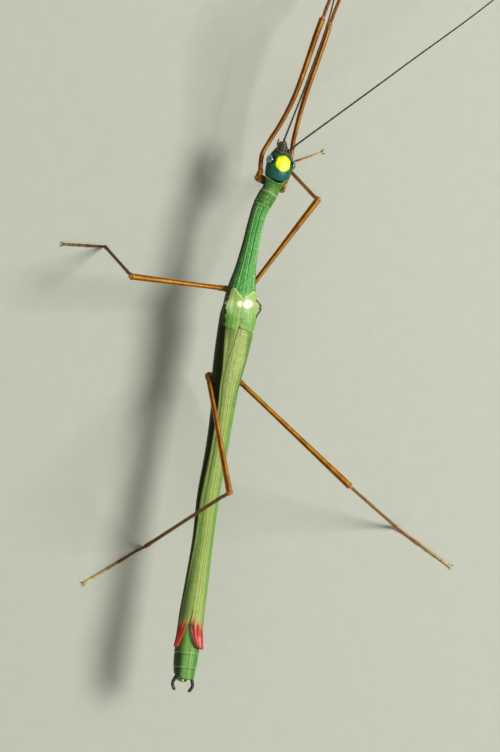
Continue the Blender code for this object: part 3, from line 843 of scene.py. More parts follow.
def add_head(material):
    """The head's capsule with its sutures, antenna sockets, eye rims and the yellow spot on its crown."""
    ahead = np.concatenate((
        np.linspace(-1.88, -1.42, 22, endpoint=False),
        np.linspace(-1.42, 1.85, 110, endpoint=False),
        np.linspace(1.85, 2.13, 14),
    ))[:, None]
    turn = np.linspace(-180, 180, 176, endpoint=False)[None, :]
    down, angle = abs(turn), np.radians(turn)
    wide, high, drop = (table(HEAD_SECTIONS, ahead, column) for column in (1, 2, 3))

    def place(lift):
        return (wide + lift) * np.sin(angle), (high + lift) * np.cos(angle) - drop

    def distances(side, rise):
        """How far each point is from an eye, as a share of its size, and from the two antenna sockets."""
        from_eye = np.hypot((ahead - EYE_AHEAD) / 0.56, (rise - EYE_RISE) / 0.54)
        return from_eye, [np.hypot(ahead - SOCKET_AHEAD, side - way * FEELER_SIDE) for way in WORDS]

    side, rise = place(0.0)
    base_points = from_head(ahead, side, rise)
    from_eye, from_sockets = distances(side, rise)
    top = down < 80
    lift = (abs(side) > 0.5) * (0.05 * peak(from_eye, 1.12, 0.14) - 0.12 * ramp(from_eye, 0.9, 0.7))
    for gap in from_sockets:
        lift += (rise > 0) * (0.09 * peak(gap, 0.30, 0.09) - 0.05 * peak(gap, 0.0, 0.16))
    # The forked suture over the crown, two furrows beside it, the cheeks' lower edge and the lip's.
    arms = abs(side) - 0.12 - 0.55 * np.clip(ahead - 0.95, 0, 1)
    lift -= top * 0.030 * peak(arms, 0, 0.04) * ramp(ahead, 0.9, 1.1)
    lift -= top * 0.022 * peak(side, 0, 0.035) * ramp(ahead, -0.5, -0.8)
    for furrow in (0.42, 0.86):
        lift -= top * 0.010 * peak(abs(side), furrow, 0.04) * ramp(ahead, -0.55, -0.9)
    lift -= 0.05 * peak(down, 122, 3.0) * ramp(ahead, -1.5, -1.2)
    lift -= 0.05 * peak(ahead, 1.86, 0.05)
    granules = blotches(base_points, 0.10, 21, 0.55, 0.85)
    lift += 0.010 * granules * ramp(ahead, 1.9, 1.5)
    side, rise = place(lift)
    from_eye, from_sockets = distances(side, rise)

    noise, fine = mottle(base_points, 0.45, 22), mottle(base_points, 0.12, 23)
    pale_front = blotches(base_points, 0.20, 24, 0.58, 0.72) * ramp(ahead, 1.15, 1.35) * top
    tint = coats(
        plain(TEAL, base_points),
        (HEAD_BLUE, 0.7 * ramp(noise, 0.35, 0.75)),
        (HEAD_BLUE, 0.6 * peak(ahead, -1.25, 0.4) + 0.5 * ramp(ahead, 0.3, 1.0) * ramp(abs(side), 0.3, 0.8)),
        # A bluish painted highlight at the rear of the crown, right of the top.
        ((26, 108, 132), 0.5 * peak(ahead, -1.15, 0.32) * peak(turn, -14, 22)),
        # Painted shade: both sides of the capsule darkened.
        ((5, 34, 28), 0.85 * ramp(down, 50, 85)),
        ((24, 60, 40), 0.6 * ramp(down, 120, 150)),
        ((50, 150, 120), 0.18 * granules * fine),
        ((6, 16, 12), 0.92 * ramp(ahead, 0.95, 1.30)),
        ((110, 130, 80), 0.4 * pale_front),
        ((140, 160, 120), 0.35 * peak(abs(side), 0.10, 0.045) * ramp(ahead, 1.2, 1.3) * top),
        *(((120, 100, 50), 0.6 * peak(gap, 0.30, 0.07) * (rise > 0)) for gap in from_sockets),
        ((8, 30, 34), 0.6 * peak(from_eye, 1.05, 0.13) * (abs(side) > 0.5)),
    )
    # A six-sided spot with round corners.
    dx, dy = side + 0.07, ahead - 0.14
    edges = [abs(dx * math.cos(t) / 0.86 + dy * math.sin(t) / 0.84) for t in np.radians((0, 60, 120))]
    spot = sum(edge ** 7 for edge in edges) ** (1 / 7) + 0.05 * (mottle(base_points, 0.22, 25) - 0.5)
    on_top = ramp(down, 88, 80)
    tint = coats(
        tint,
        ((130, 150, 30), 0.8 * ramp(spot, 1.12, 0.98) * on_top),
        (YELLOW, ramp(spot, 1.02, 0.88) * on_top),
        ((255, 248, 60), 0.6 * ramp(spot, 0.7, 0.2) * on_top),
    )
    build = Build()
    build.sheet(from_head(ahead, side, rise), tint)
    build.finish("head_skin", material, "head_blue_green", ("head",))


def add_eye(side, material):
    """A domed compound eye, banded grey-blue with a dark false pupil on its upper side."""
    centre = head_place(EYE_AHEAD, side * EYE_SIDE, EYE_RISE)
    radii = [radius - 0.01 for radius in EYE_RADII]

    def eye_tint(points):
        away = (points - np.array(centre)) / np.mean(radii)
        length = np.linalg.norm(away, axis=-1)[..., None]
        upper = np.array((0.36 * side, 0.04, 0.93))
        upper /= np.linalg.norm(upper)
        aside = away / length - upper
        aside_ahead = aside @ np.array(HEAD_AHEAD)
        aside_rest = (np.sum(aside ** 2, axis=-1) - aside_ahead ** 2).clip(0)
        from_pupil = np.sqrt((aside_ahead / 1.35) ** 2 + aside_rest / 0.72 ** 2)
        out = away @ np.array(HEAD_LEFT) * side
        bands = np.sin(away @ np.array(HEAD_AHEAD) * 8.0 + 1.0)
        tint = coats(
            plain((80, 142, 130), points),
            ((126, 182, 172), 0.35 * ramp(from_pupil, 0.95, 0.6)),
            ((34, 84, 80), ramp(out, 0.30, -0.1)),
            ((70, 116, 132), 0.35 * ramp(bands, 0.1, 0.9)),
            ((14, 26, 34), 0.92 * ramp(from_pupil, 0.40, 0.14)),
        )
        # Six faint spots round the pupil.
        for turn in np.arange(6) * math.pi / 3:
            spoke = upper + 0.66 * np.array((0.8 * math.cos(turn) * side, math.sin(turn), -0.4 * math.cos(turn)))
            spoke /= np.linalg.norm(spoke)
            gap = np.linalg.norm(away - spoke * length, axis=-1)
            tint = coats(tint, ((60, 96, 112), 0.35 * ramp(gap, 0.12, 0.05)))
        return coats(tint, ((20, 42, 50), 0.8 * ramp(out, 0.12, -0.05)))

    build = Build()
    build.ball(centre, (HEAD_AHEAD, HEAD_LEFT, HEAD_UP), radii, eye_tint, 56, 72)
    build.finish(f"eye_{WORDS[side]}_dome", material, "eye_blue", (f"eye_{WORDS[side]}",))


def add_mouth(material):
    """Labrum, mandibles and the jointed palps below the front of the head."""
    build = Build()
    brown, pale, dark = (38, 48, 28), (96, 100, 62), (18, 18, 12)

    def blob(place, radii, tint):
        build.ball(head_place(*place), (HEAD_AHEAD, HEAD_LEFT, HEAD_UP), radii, tint, 22, 28)

    blob((2.12, 0, -0.32), (0.26, 0.48, 0.40), brown)
    blob((2.34, 0, -0.42), (0.24, 0.40, 0.24), pale)
    for side in WORDS:
        blob((2.30, side * 0.26, -0.66), (0.34, 0.24, 0.26), dark)
        blob((2.10, side * 0.34, -0.74), (0.34, 0.17, 0.24), brown)
        # Two palps: their reach, how far out they start, their radius and their colour.
        for reach, offset, size, tint in (
            (0.74, 0.40, 0.075, (34, 36, 22)), (0.5, 0.16, 0.06, colour(*brown) * 0.6)
        ):
            joints = [
                head_place(2.02 + ahead * reach, side * (offset + out * reach), rise)
                for ahead, out, rise in (
                    (0, 0, -0.84), (0.26, 0.10, -0.98), (0.56, 0.14, -0.98), (0.86, 0.08, -1.10), (1.10, -0.02, -1.26)
                )
            ]
            for first, last in zip(joints, joints[1:]):
                steps = [first.lerp(last, share) for share in np.linspace(0.05, 0.95, 9)]
                build.tube(steps, size * np.linspace(0.82, 1.08, 9), 12, tint)
    blob((2.02, 0, -0.80), (0.40, 0.36, 0.16), colour(*pale) * 0.8)
    build.finish("mouth_piece", material, "mouth_brown", ("mouthparts",))


# ---------------------------------------------------------------- fore wings


def add_tegmen(side, material):
    """A short green shield with a blunt black-edged hump, raised veins and a white spot by the seam."""
    is_left, is_right = side > 0, side < 0
    start, end = TEGMEN
    run, share = np.linspace(0, 1, 96)[:, None], np.linspace(0, 1, 96)[None, :]
    lower = 84 - 10 * run ** 4
    seam = table(TEGMEN_SEAM, end * run) * side - (1.5 if is_left else 0.6)
    seam = seam + 1.5 * ramp(run, 0.06, 0.0) ** 2 + 7 * ramp(run, 0.86, 1.0) ** 2
    turn = seam + (lower - seam) * share
    front = tegmen_front(side * turn)
    rear = end - 0.20 + 0.20 * peak(turn, 34, 22)
    back = front + (rear - front) * run
    vein = 33 - 4 * np.clip((back - start) / (end - start), 0, 1)

    hump = 0.66 * peak(turn, 60, 15) * peak(back, 0.5, 0.75)
    lift = hump + 0.03 + 0.05 * ramp(back, -0.4, -0.9) + 0.02 * ramp(back, 2.8, 3.2)
    lift += 0.022 * peak(turn, vein, 2.6) + 0.018 * peak(turn, 18, 2.0) * ramp(back, 0.6, 1.2)
    lift += 0.02 * peak(turn, 46, 2.4) + 0.035 * peak(turn, 74, 2.4)
    edge = np.minimum(np.minimum(share * 40, (1 - share) * 30), np.minimum((back - front) / 0.12, (rear - back) / 0.16))
    lift -= 0.06 * ramp(edge, 1.0, 0.0) * (1.0 if is_left else 0.3 + 0.7 * ramp(share, 0.05, 0.3))
    flat = free_surface(back, side * turn, hump)
    lift += 0.010 * blotches(flat, 0.12, 31, 0.5, 0.8) + 0.02 * (mottle(flat, 0.5, 32) - 0.5)
    outer = free_surface(back, side * turn, lift)
    inner = free_surface(back, side * turn, lift - (0.05 + 0.22 * ramp(edge, 0.0, 1.0)))

    noise, fine = mottle(flat, 0.4, 33), mottle(flat, 0.14, 34)
    tint = coats(
        # The right one's base is painted darker than the left's, as painted shade.
        plain((138, 176, 78) if is_left else (104, 140, 50), flat),
        ((116, 168, 74), 0.6 * ramp(noise, 0.3, 0.8)),
        ((168, 196, 116), 0.35 * ramp(fine, 0.45, 0.8)),
        ((164, 188, 112), 0.75 * ramp(back, 1.3, 0.0)),
        ((98, 168, 70), 0.75 * ramp(back, 1.0, 2.2) * ramp(turn, 14, 34)),
        ((160, 190, 132), 0.45 * window(back, -0.2, 0.8, 1.0, 2.0)),
        ((150, 174, 92), 0.5 * ramp(back, 2.2, 3.1) * ramp(turn, 30, 12)),
        (PALE, 0.20 * (peak(turn, vein, 2.2) + peak(turn, 18, 1.8)) * ramp(back, 1.0, 1.6)),
        ((150, 150, 112), 0.40 * ramp(hump, 0.10, 0.40) * ramp(turn, 60, 50)),
        ((206, 218, 168), 0.8 * ramp(back - front, 0.20, 0.06) * ramp(turn, 62, 52)),
        ((104, 128, 60), 0.35 * ramp(turn - seam, 2.6, 0.6) * ramp(back, 0.9, 1.3)),
        # Below the hump's outside: near-black painted shade on the left one, a darker green on the right one.
        ((14, 22, 8), is_left * 0.95 * ramp(turn + 9 * (noise - 0.5), 54, 62)),
        ((70, 120, 50), is_right * 0.6 * ramp(turn, 62, 74)),
    )
    # The white spot, the black rim along the outside of the hump, and a painted pale-blue glint on the left one's hump.
    where_b, where_t, size_b, size_t = (0.25, 14.5, 0.36, 12.0) if is_left else (0.18, 13.6, 0.45, 21.0)
    spot = np.hypot((back - where_b + 0.004 * (turn - where_t)) / size_b, (turn - where_t) / size_t)
    spot = spot + 0.16 * (mottle(flat, 0.16, 35) - 0.5)
    crest = peak(turn, (61 if is_left else 56.5) + 1.4 * np.sin(back * 9), 6.5) * ramp(abs(back - 0.62), 1.05, 0.85)
    ragged = blotches(flat, 0.17, 36, 0.25, 0.5)
    tint = coats(
        tint,
        ((246, 248, 226), ramp(spot, 1.06, 0.90)),
        ((236, 226, 150), 0.5 * ramp(spot, 1.06, 0.90) * ramp(spot, 0.6, 0.95)),
        ((12, 12, 10), 0.96 * ramp(crest * (0.55 + 0.45 * ragged), 0.35, 0.6)),
        ((190, 205, 215), is_left * 0.9 * peak(back, 0.26, 0.11) * peak(turn, 60, 3.0)),
    )
    build = Build()
    build.sheet(
        # The inner face takes the tint darkened as painted shade.
        np.concatenate((outer, inner[:, ::-1]), axis=1), np.concatenate((tint, tint[:, ::-1] * 0.8), axis=1)
    )
    build.finish(f"tegmen_{WORDS[side]}_shell", material, "tegmen_green", (f"tegmen_{WORDS[side]}",), sharp=60)


# ---------------------------------------------------------------- hind wings

# Tables of distance back and degrees from the top. The crease is where a wing turns down the flank.
CREASE = ((2.6, 54.0), (5.6, 44.0), (8.2, 37.5), (10.4, 41.0), (19.5, 49.0), (30.0, 68.0), (37.6, 74.0))
# The seam is where the right wing's inner edge lies over the left wing.
SEAM = (
    (2.5, 7.5), (3.2, 10.9), (5.2, 21.0), (7.2, 31.0), (8.3, 34.5), (12.0, 36.0), (24.0, 34.0), (30.0, 24.0),
    (34.0, 16.0), (37.6, 16.0),
)
# How far each wing's inner edge turns away from the seam behind their parting.
TIP_EDGES = {
    1: ((33.4, 0.0), (34.2, 4.0), (35.4, 17.0), (36.4, 27.0), (37.4, 37.0), (37.55, 43.0)),
    -1: ((33.9, 0.0), (34.9, -2.5), (35.8, 5.0), (36.7, 17.5), (37.3, 33.0), (37.55, 58.0)),
}
# The left and the right edge of the pale band down the right wing.
BAND_LEFT = ((3, 50), (8, 34), (12, 26), (20, 22), (28, 30), (34, 30))
BAND_RIGHT = ((3, -22), (6, -34), (9, -24), (13, -20), (20, -24), (30, -34), (35, -40))
# Raised veins in degrees from the top, and the darker ones with their strength.
VEINS = {1: (20, 45, 58, 68, 78), -1: (-14, 2, 12.5, 26, 38, 58, 68, 78)}
DARK_VEINS = {1: ((20, 0.2), (45, 0.2)), -1: ((-14, 0.35), (2, 0.35), (12.5, 0.65), (26, 0.5), (38, 0.3))}
UV_RADIUS = 1.45


def wing_tip_tint(is_left, back, share, pleats, flat):
    """The crimson of a wing's pleated tip, with painted highlights on the pleats' crests and painted shade in their
    folds, its inner edge, a painted highlight along one pleat and its outer edge picked out.
    """
    return coats(
        plain((170, 28, 26), flat),
        # Painted highlights on the pleats' crests and painted shade in their folds.
        ((218, 92, 88), (0.35 if is_left else 0.6) * ramp(pleats, 0.0, 0.9)),
        ((84, 14, 14), 0.4 * ramp(pleats, -0.3, -0.95)),
        *(
            (
                ((206, 100, 44), 0.9 * ramp(share, 0.16, 0.03)),
                ((110, 90, 30), 0.7 * ramp(share, 0.86, 0.98)),
            ) if is_left else (
                ((84, 14, 14), 0.85 * ramp(share, 0.22, 0.02)),
                # A painted highlight along one pleat.
                ((238, 150, 150), 0.6 * peak(share, 0.46, 0.12) * ramp(back, 35.9, 36.5)),
            )
        ),
    )


def add_wing(side, material):
    """A folded hind wing: ridged veins, a crease down the flank, and a pleated crimson tip that stands off."""
    is_left, is_right = side > 0, side < 0
    end, columns = WING_END, 112
    backs = np.concatenate((np.arange(2.55, 33.0, 0.05), np.arange(33.0, end, 0.04), [end - 0.004]))
    back, share = backs[:, None], np.linspace(0, 1, columns)[None, :]
    tip = np.clip((back - end + WING_TIP_LENGTH) / WING_TIP_LENGTH, 0, 1)
    seam, crease, parting = table(SEAM, back), table(CREASE, back), table(TIP_EDGES[side], back)
    # The left wing goes on under the right one, so no gap shows between them.
    under = 13 * ramp(back, 33.3, 31.0) if is_left else 0.0
    inner = seam * side + (1.2 if is_left else -0.4 * ramp(back, 31, 33)) + parting - under
    outer = 84 - (6 if is_left else 14) * tip ** 3 - 8 * ramp(back, end - 0.45, end + 0.2) ** 2
    turn = inner + (outer - inner) * share

    lift = WING_TIP_FLARE[side] * tip ** 2 * (0.62 + 0.38 * np.sin(math.pi * share) if is_left else 1 + 0 * share)
    folded = ramp(back, 34, 30) * ramp(back, 3.4, 5.0)
    lift += 0.09 * peak(turn, crease, 6.0) * folded
    lift -= 0.06 * peak(turn, crease + 15, 8) * folded
    ridges = np.zeros(turn.shape)
    for vein in VEINS[side]:
        drift = vein + (crease - 48) * ramp(vein, 35, 60)
        ridges = np.maximum(ridges, peak(turn, drift, 1.9 if vein < 50 else 2.3))
    lift += 0.026 * ridges * ramp(back, 36.5, 34.5)
    pleats = np.cos(share * 2 * math.pi * (5 if is_left else 4) + 0.5)
    lift += 0.042 * pleats * tip ** 0.8 * ramp(back, 33.6, 34.6)
    if is_left:
        lift -= 0.06 * ramp(turn, seam + 2.5, seam - 0.5) * ramp(back, 33.3, 31.5)
    else:
        lift += 0.020 * peak(turn, inner, 2.5)
    lift -= 0.14 * ramp(back, 3.6, 2.9)
    left_of_top = side * turn
    flat = trunk_surface(backs, left_of_top, lift)
    lift += 0.024 * (mottle(flat, 0.35, 41 + side) - 0.5)
    edge = np.minimum(share * 60, (1 - share) * 45)
    outer_face = trunk_surface(backs, left_of_top, lift - 0.03 * ramp(edge, 1.5, 0.0))
    inner_at = np.linspace(columns - 1, 0, 22).astype(int)
    thickness = 0.05 + 0.10 * ramp(edge, 0.0, 3.0) * ramp(back, 35.5, 33.0)
    inner_face = trunk_surface(backs, left_of_top, lift - thickness)[:, inner_at]

    # The pale band down the back, the green strip on the right of it, the olive one on its left, and the dark flank,
    # which is painted shade: near-black down the flank, on the left wing from the crease.
    noise, fine = mottle(flat, 0.5, 43), mottle(flat, 0.15, 44)
    band_left, band_right = table(BAND_LEFT, back), table(BAND_RIGHT, back)
    pale = window(left_of_top, band_right - 5, band_right + 5, band_left - 5, band_left + 5)
    olive = ramp(left_of_top, band_left - 3, band_left + 9) * window(back, 8, 13, 17, 26)
    flank = ramp(turn, crease + 1, crease + 5 + 12 * ramp(back, 8, 20)) if is_left else ramp(turn, 68, 80)
    rungs = 0.5 + 0.5 * np.cos(back * 2 * math.pi / 0.20)
    along_veins = (0.55 + 0.45 * rungs) * window(back, 5.5, 9.0, 34, 35.5)
    tint = coats(
        plain((128, 160, 72), flat),
        ((152, 172, 86), 0.9 * pale),
        ((178, 184, 118), 0.72 * pale * ramp(fine, 0.25, 0.65) * ramp(back, 18, 6)),
        ((104, 152, 62), 0.85 * ramp(left_of_top, band_right + 3, band_right - 4)),
        ((92, 146, 58), 0.6 * ramp(left_of_top, -54, -70)),
        ((88, 122, 40), 0.55 * ramp(back, 12, 9) * peak(left_of_top, 33, 9)),
        ((66, 96, 26), 0.7 * ramp(back, 13, 9) * ramp(left_of_top, -30, -44)),
        ((112, 124, 44), 0.7 * olive),
        ((96, 140, 56), 0.5 * ramp(back, 5.0, 3.0) * ramp(noise, 0.2, 0.7)),
        ((14, 28, 6), 0.97 * flank),
        ((30, 44, 12), 0.4 * flank * ramp(noise, 0.4, 0.8)),
        # Painted highlight along the crease, dotted with the cross veins.
        ((190, 200, 120), 0.45 * peak(turn, crease, 2.0) * (0.4 + 0.6 * rungs) * ramp(back, 34, 30)),
        *(((62, 60, 20), strength * along_veins * peak(turn, vein, 1.4)) for vein, strength in DARK_VEINS[side]),
        ((74, 72, 28), is_right * 0.75 * peak(turn, inner, 1.5) * ramp(back, 2.8, 3.4) * ramp(back, 34, 24)),
        # Painted shade on the left wing along the right wing's overlapping edge.
        ((60, 66, 22), is_left * 0.6 * ramp(turn, seam + 2.0, seam + 0.6) * ramp(back, 33, 30)),
        # Painted shade on the left wing's side towards its rear.
        ((62, 70, 20), is_left * 0.7 * ramp(turn, 34, 62) * ramp(back, 26, 31)),
    )
    # The crimson tips, their edge drawn out between the pleats.
    reach = (35.15 if is_left else 34.6 + 1.3 * share) + 0.12 * pleats + 0.6 * (noise - 0.5)
    crimson = ramp(back, reach - 0.5, reach + 0.4)
    tint = coats(tint, ((196, 120, 70), 0.6 * ramp(back, reach - 1.0, reach - 0.2) * (1 - crimson)))
    tint = tint + (wing_tip_tint(is_left, back, share, pleats, flat) - tint) * crimson[..., None]

    # The marks: how strong the ladders and the net of veins are, and how dull the membrane.
    ladder = ramp(back, 3.0, 3.6) * (1 - crimson) * (0.35 + 0.65 * ramp(abs(left_of_top), 74, 60)) * (1 - 0.8 * flank)
    net_edge = 14 + 6 * (back - 5)
    net = is_right * pale * ramp(back, 13, 7.5) * ramp(left_of_top, net_edge + 12, net_edge)
    ladder = ladder * (1 - net) * (0.50 - 0.16 * ramp(back, 24, 32))
    marks = np.stack((ladder, net * 0.72, np.maximum(flank, 0.7 * crimson)), axis=-1)
    uv = np.stack(np.broadcast_arrays(back, np.radians(left_of_top) * UV_RADIUS), axis=-1)
    faces = (
        (outer_face, inner_face),
        # The inner face takes the tint darkened as painted shade.
        (tint, tint[:, inner_at] * 0.8),
        (marks, marks[:, inner_at]),
        (uv, uv[:, inner_at]),
    )
    build = Build()
    build.sheet(*(np.concatenate(pair, axis=1) for pair in faces))
    build.finish(f"wing_{WORDS[side]}_blade", material, "wing_green", (f"wing_{WORDS[side]}",), sharp=60)


# ---------------------------------------------------------------- legs


def keeled(angles):
    """A femur's section: four soft keels with hollows between them."""
    return 1 + 0.055 * np.cos(4 * angles) + 0.03 * np.cos(2 * angles)


def three_keeled(angles):
    """A tibia's section."""
    return 1 + 0.05 * np.cos(3 * angles)


def keel_lines(rings, count):
    """1 on each of a tube's keels and 0 between them."""
    return 0.5 + 0.5 * np.cos(np.linspace(0, 2 * math.pi, rings.shape[1], endpoint=False) * count)[None, :]


def leg_places(name):
    """Where a leg's joints are, and the path of its femur, as in the frame."""
    (back, hip_turn), (turn, rise), shin_turn, foot_turn = LEGS[name]
    pair, side_word = name.split("_")
    (femur_length, tibia_length, tarsus_length), (thickness, width), _ = LEG_PAIRS[pair]
    at = trunk_frame(back)
    hip = section_point(at, hip_turn, -thickness - GAP)
    knee = hip + heading(turn, rise) * femur_length
    drop = knee.z - ANKLE_HEIGHT
    ankle = knee + heading(shin_turn) * math.sqrt(tibia_length ** 2 - drop ** 2) - UP * drop
    toe = ankle + heading(foot_turn) * tarsus_length
    toe.z = TOE_HEIGHT
    along = (knee - hip).normalized()
    shares = np.linspace(0, 1, 11)
    femur = [(hip + along * (width + GAP)).lerp(knee - along * 0.12, share) for share in shares]
    if pair == "fore":
        for share, place in zip(shares, femur):
            place.x -= (1 if side_word == "left" else -1) * smooth_value(FORE_FEMUR_BEND, share, 1)
            place.z -= smooth_value(FORE_FEMUR_BEND, share, 2)
    return section_point(at, hip_turn, 0.45), hip, femur, knee, ankle, toe


def add_coxa(build, name, seed, root, hip, start):
    """The coxa and the trochanter, from inside the trunk to the start of the femur."""
    (knob, _, _), femur_tint, *_ = LEG_LOOKS[name]
    is_fore = name.startswith("fore")
    out = (start - hip).normalized()
    path = curve_points((root, hip.lerp(root, 0.35), hip, hip + out * 0.34, start + out * 0.25), 34)
    shape = ((0, knob), (0.35, knob), (0.50, knob * 0.92), (0.60, 0.26), (0.68, 0.31), (0.85, 0.31), (1, 0.25))

    def coxa_tint(rings):
        place = share_of(rings)
        return coats(
            plain(femur_tint, rings),
            ((104, 50, 12), 0.5 * mottle(rings, 0.3, seed)),
            ((206, 132, 34), is_fore * 0.75 * ramp(place, 0.40, 0.50) * blotches(rings, 0.35, seed + 2, 0.3, 0.6)),
            ((52, 26, 12), 0.75 * peak(place, 0.60, 0.04)),
            # On a fore coxa: near-black painted shade at its base, and a cream painted glint.
            ((18, 18, 10), is_fore * 0.9 * ramp(place, 0.40, 0.26)),
            ((206, 170, 90), is_fore * 0.5 * peak(place, 0.36, 0.06) * blotches(rings, 0.22, seed + 1, 0.45, 0.6)),
        )

    build.tube(path, table(shape, np.linspace(0, 1, 34)), 36, coxa_tint, keeled)


def add_femur(build, name, seed, femur, knee):
    """A keeled femur, streaked along its length, with a swollen knee."""
    radius = LEG_PAIRS[name.split("_")[0]][2]
    end = (knee - femur[-1]).normalized()
    path = curve_points(femur, 136) + [femur[-1] + end * step for step in np.linspace(0.03, 0.30, 14)]

    def femur_tint(rings):
        place, lines = share_of(rings), keel_lines(rings, 4)
        keel_highlight_share = 0.5 + blotches(rings, 1.4, seed + 4, 0.3, 0.7)
        return coats(
            plain(LEG_LOOKS[name][1], rings),
            ((104, 48, 8), 0.55 * blotches(rings, 0.6, seed + 2, 0.4, 0.8)),
            ((204, 130, 22), 0.25 * blotches(rings, 0.25, seed + 3, 0.5, 0.9)),
            # Painted shade in the hollows between the keels and painted highlights along the keels.
            ((88, 36, 6), 0.80 * (1 - lines) ** 2),
            ((224, 150, 40), 0.60 * lines ** 3 * keel_highlight_share),
            ((226, 196, 120), 0.5 * peak(place, 0.90, 0.025) * blotches(rings, 0.3, seed + 5, 0.3, 0.6)),
            ((168, 78, 30), 0.6 * ramp(place, 0.86, 0.94)),
            ((216, 150, 84), 0.35 * ramp(place, 0.94, 0.985)),
            ((96, 44, 18), 0.3 * peak(place, 0.955, 0.012)),
            ((120, 58, 20), 0.6 * ramp(place, 0.03, 0.0)),
        )

    rings = build.tube(path, radius * table(FEMUR_SHAPE, np.linspace(0, 1, len(path))), 36, femur_tint, keeled)
    build.hairs(rings, (120, 80, 40), 70, 0.16, seed + 4)


def add_tibia(build, name, seed, knee, ankle):
    """A haired tibia, slightly bowed at its base."""
    shin = (ankle - knee).normalized()
    bow = UP.cross(shin).cross(shin).normalized() * -1
    share = np.linspace(0, 1, 130)
    path = [knee.lerp(ankle, -0.004 + s * 1.004) + bow * 0.10 * peak(s, 0.045, 0.03) for s in share]

    def tibia_tint(rings):
        place, lines = share_of(rings), keel_lines(rings, 3)
        return coats(
            plain(LEG_LOOKS[name][2], rings),
            ((100, 52, 8), 0.5 * blotches(rings, 0.55, seed + 5, 0.35, 0.8)),
            ((176, 112, 24), 0.22 * blotches(rings, 0.22, seed + 6, 0.5, 0.9)),
            # Painted highlights along the keels.
            ((180, 116, 24), 0.22 * lines ** 3),
            ((112, 56, 20), 0.6 * ramp(place, 0.05, 0.02)),
            ((104, 58, 26), 0.5 * ramp(place, 0.955, 0.99)),
        )

    rings = build.tube(path, LEG_LOOKS[name][0][1] * table(TIBIA_SHAPE, share), 28, tibia_tint, three_keeled)
    build.hairs(rings, (110, 74, 40), 150, 0.20, seed + 7)


def add_foot(build, name, seed, ankle, toe):
    """A tarsus: five joints that come down to the floor, each flared at its end and soled with a pad."""
    (_, _, radius), _, _, foot_tint, toe_tint = LEG_LOOKS[name]
    foot_tint, toe_tint = colour(*foot_tint), colour(*toe_tint)
    tarsus = toe - ankle
    rest = radius * 0.96
    for joint, (first, last) in enumerate(zip(TARSUS_JOINTS, TARSUS_JOINTS[1:])):
        share = np.linspace(0, 1, 14 if joint else 26)
        path = [ankle + tarsus * (first + (last - first) * (0.03 + 0.95 * s)) for s in share]
        for s, place in zip(share, path):
            place.z = rest if joint else rest + (FOOT_START_HEIGHT - rest) * ramp(s, 0.34, 0.0)
        radii = radius * (0.86 + 0.22 * ramp(share, 0.45, 0.95)) * (1.0 - 0.02 * joint)

        def joint_tint(rings, base=foot_tint + (toe_tint - foot_tint) * (joint / 4.0)):
            return coats(
                np.broadcast_to(base, rings.shape),
                ((90, 52, 24), 0.5 * ramp(share_of(rings), 0.25, 0.0)),
                ((100, 62, 30), 0.4 * blotches(rings, 0.2, seed + 8, 0.4, 0.8)),
                ((206, 190, 140), 0.6 * ramp(rings[..., 2], 0.10, 0.03)),
            )

        rings = build.tube(path, radii, 24, joint_tint, floor=0.0)
        build.hairs(rings, (110, 80, 46), 10 if joint else 26, 0.15, seed + 9 + joint)


def add_leg(name, material):
    """One leg from its coxa to its foot."""
    build = Build()
    seed = sorted(LEGS).index(name) * 10
    root, hip, femur, knee, ankle, toe = leg_places(name)
    add_coxa(build, name, seed, root, hip, femur[0])
    add_femur(build, name, seed, femur, knee)
    add_tibia(build, name, seed, knee, ankle)
    add_foot(build, name, seed, ankle, toe)
    nodes = [f"{part}_{name}" for part in ("coxa", "femur", "tibia", "tarsus")]
    build.finish(f"leg_{name}_skin", material, "leg_orange", nodes)


def add_claws(name, material):
    """Two hooked claws and the pad between them at the end of a foot."""
    *_, ankle, toe = leg_places(name)
    along = Vector((toe.x - ankle.x, toe.y - ankle.y, 0)).normalized()
    across = along.cross(UP)
    build = Build()

    def claw_tint(rings):
        return coats(plain((84, 52, 26), rings), ((24, 16, 10), ramp(share_of(rings), 0.3, 0.8)))

    for side in WORDS:
        start = toe - along * 0.04 + across * side * 0.06 + UP * 0.02
        anchors = [
            start + along * ahead + across * side * out + UP * rise
            for ahead, out, rise in ((0, 0, 0), (0.20, 0.12, 0.06), (0.34, 0.18, -0.01), (0.40, 0.19, -0.12))
        ]
        build.tube(curve_points(anchors, 18), np.linspace(0.050, 0.010, 18), 12, claw_tint)
    centre = toe + along * 0.12
    centre.z = 0.075
    build.ball(centre, (along, across, UP), (0.16, 0.12, 0.075), (206, 186, 120), 18, 22)
    build.finish(f"claws_{name}", material, "feeler_brown")


# ---------------------------------------------------------------- feelers, claspers and the tail


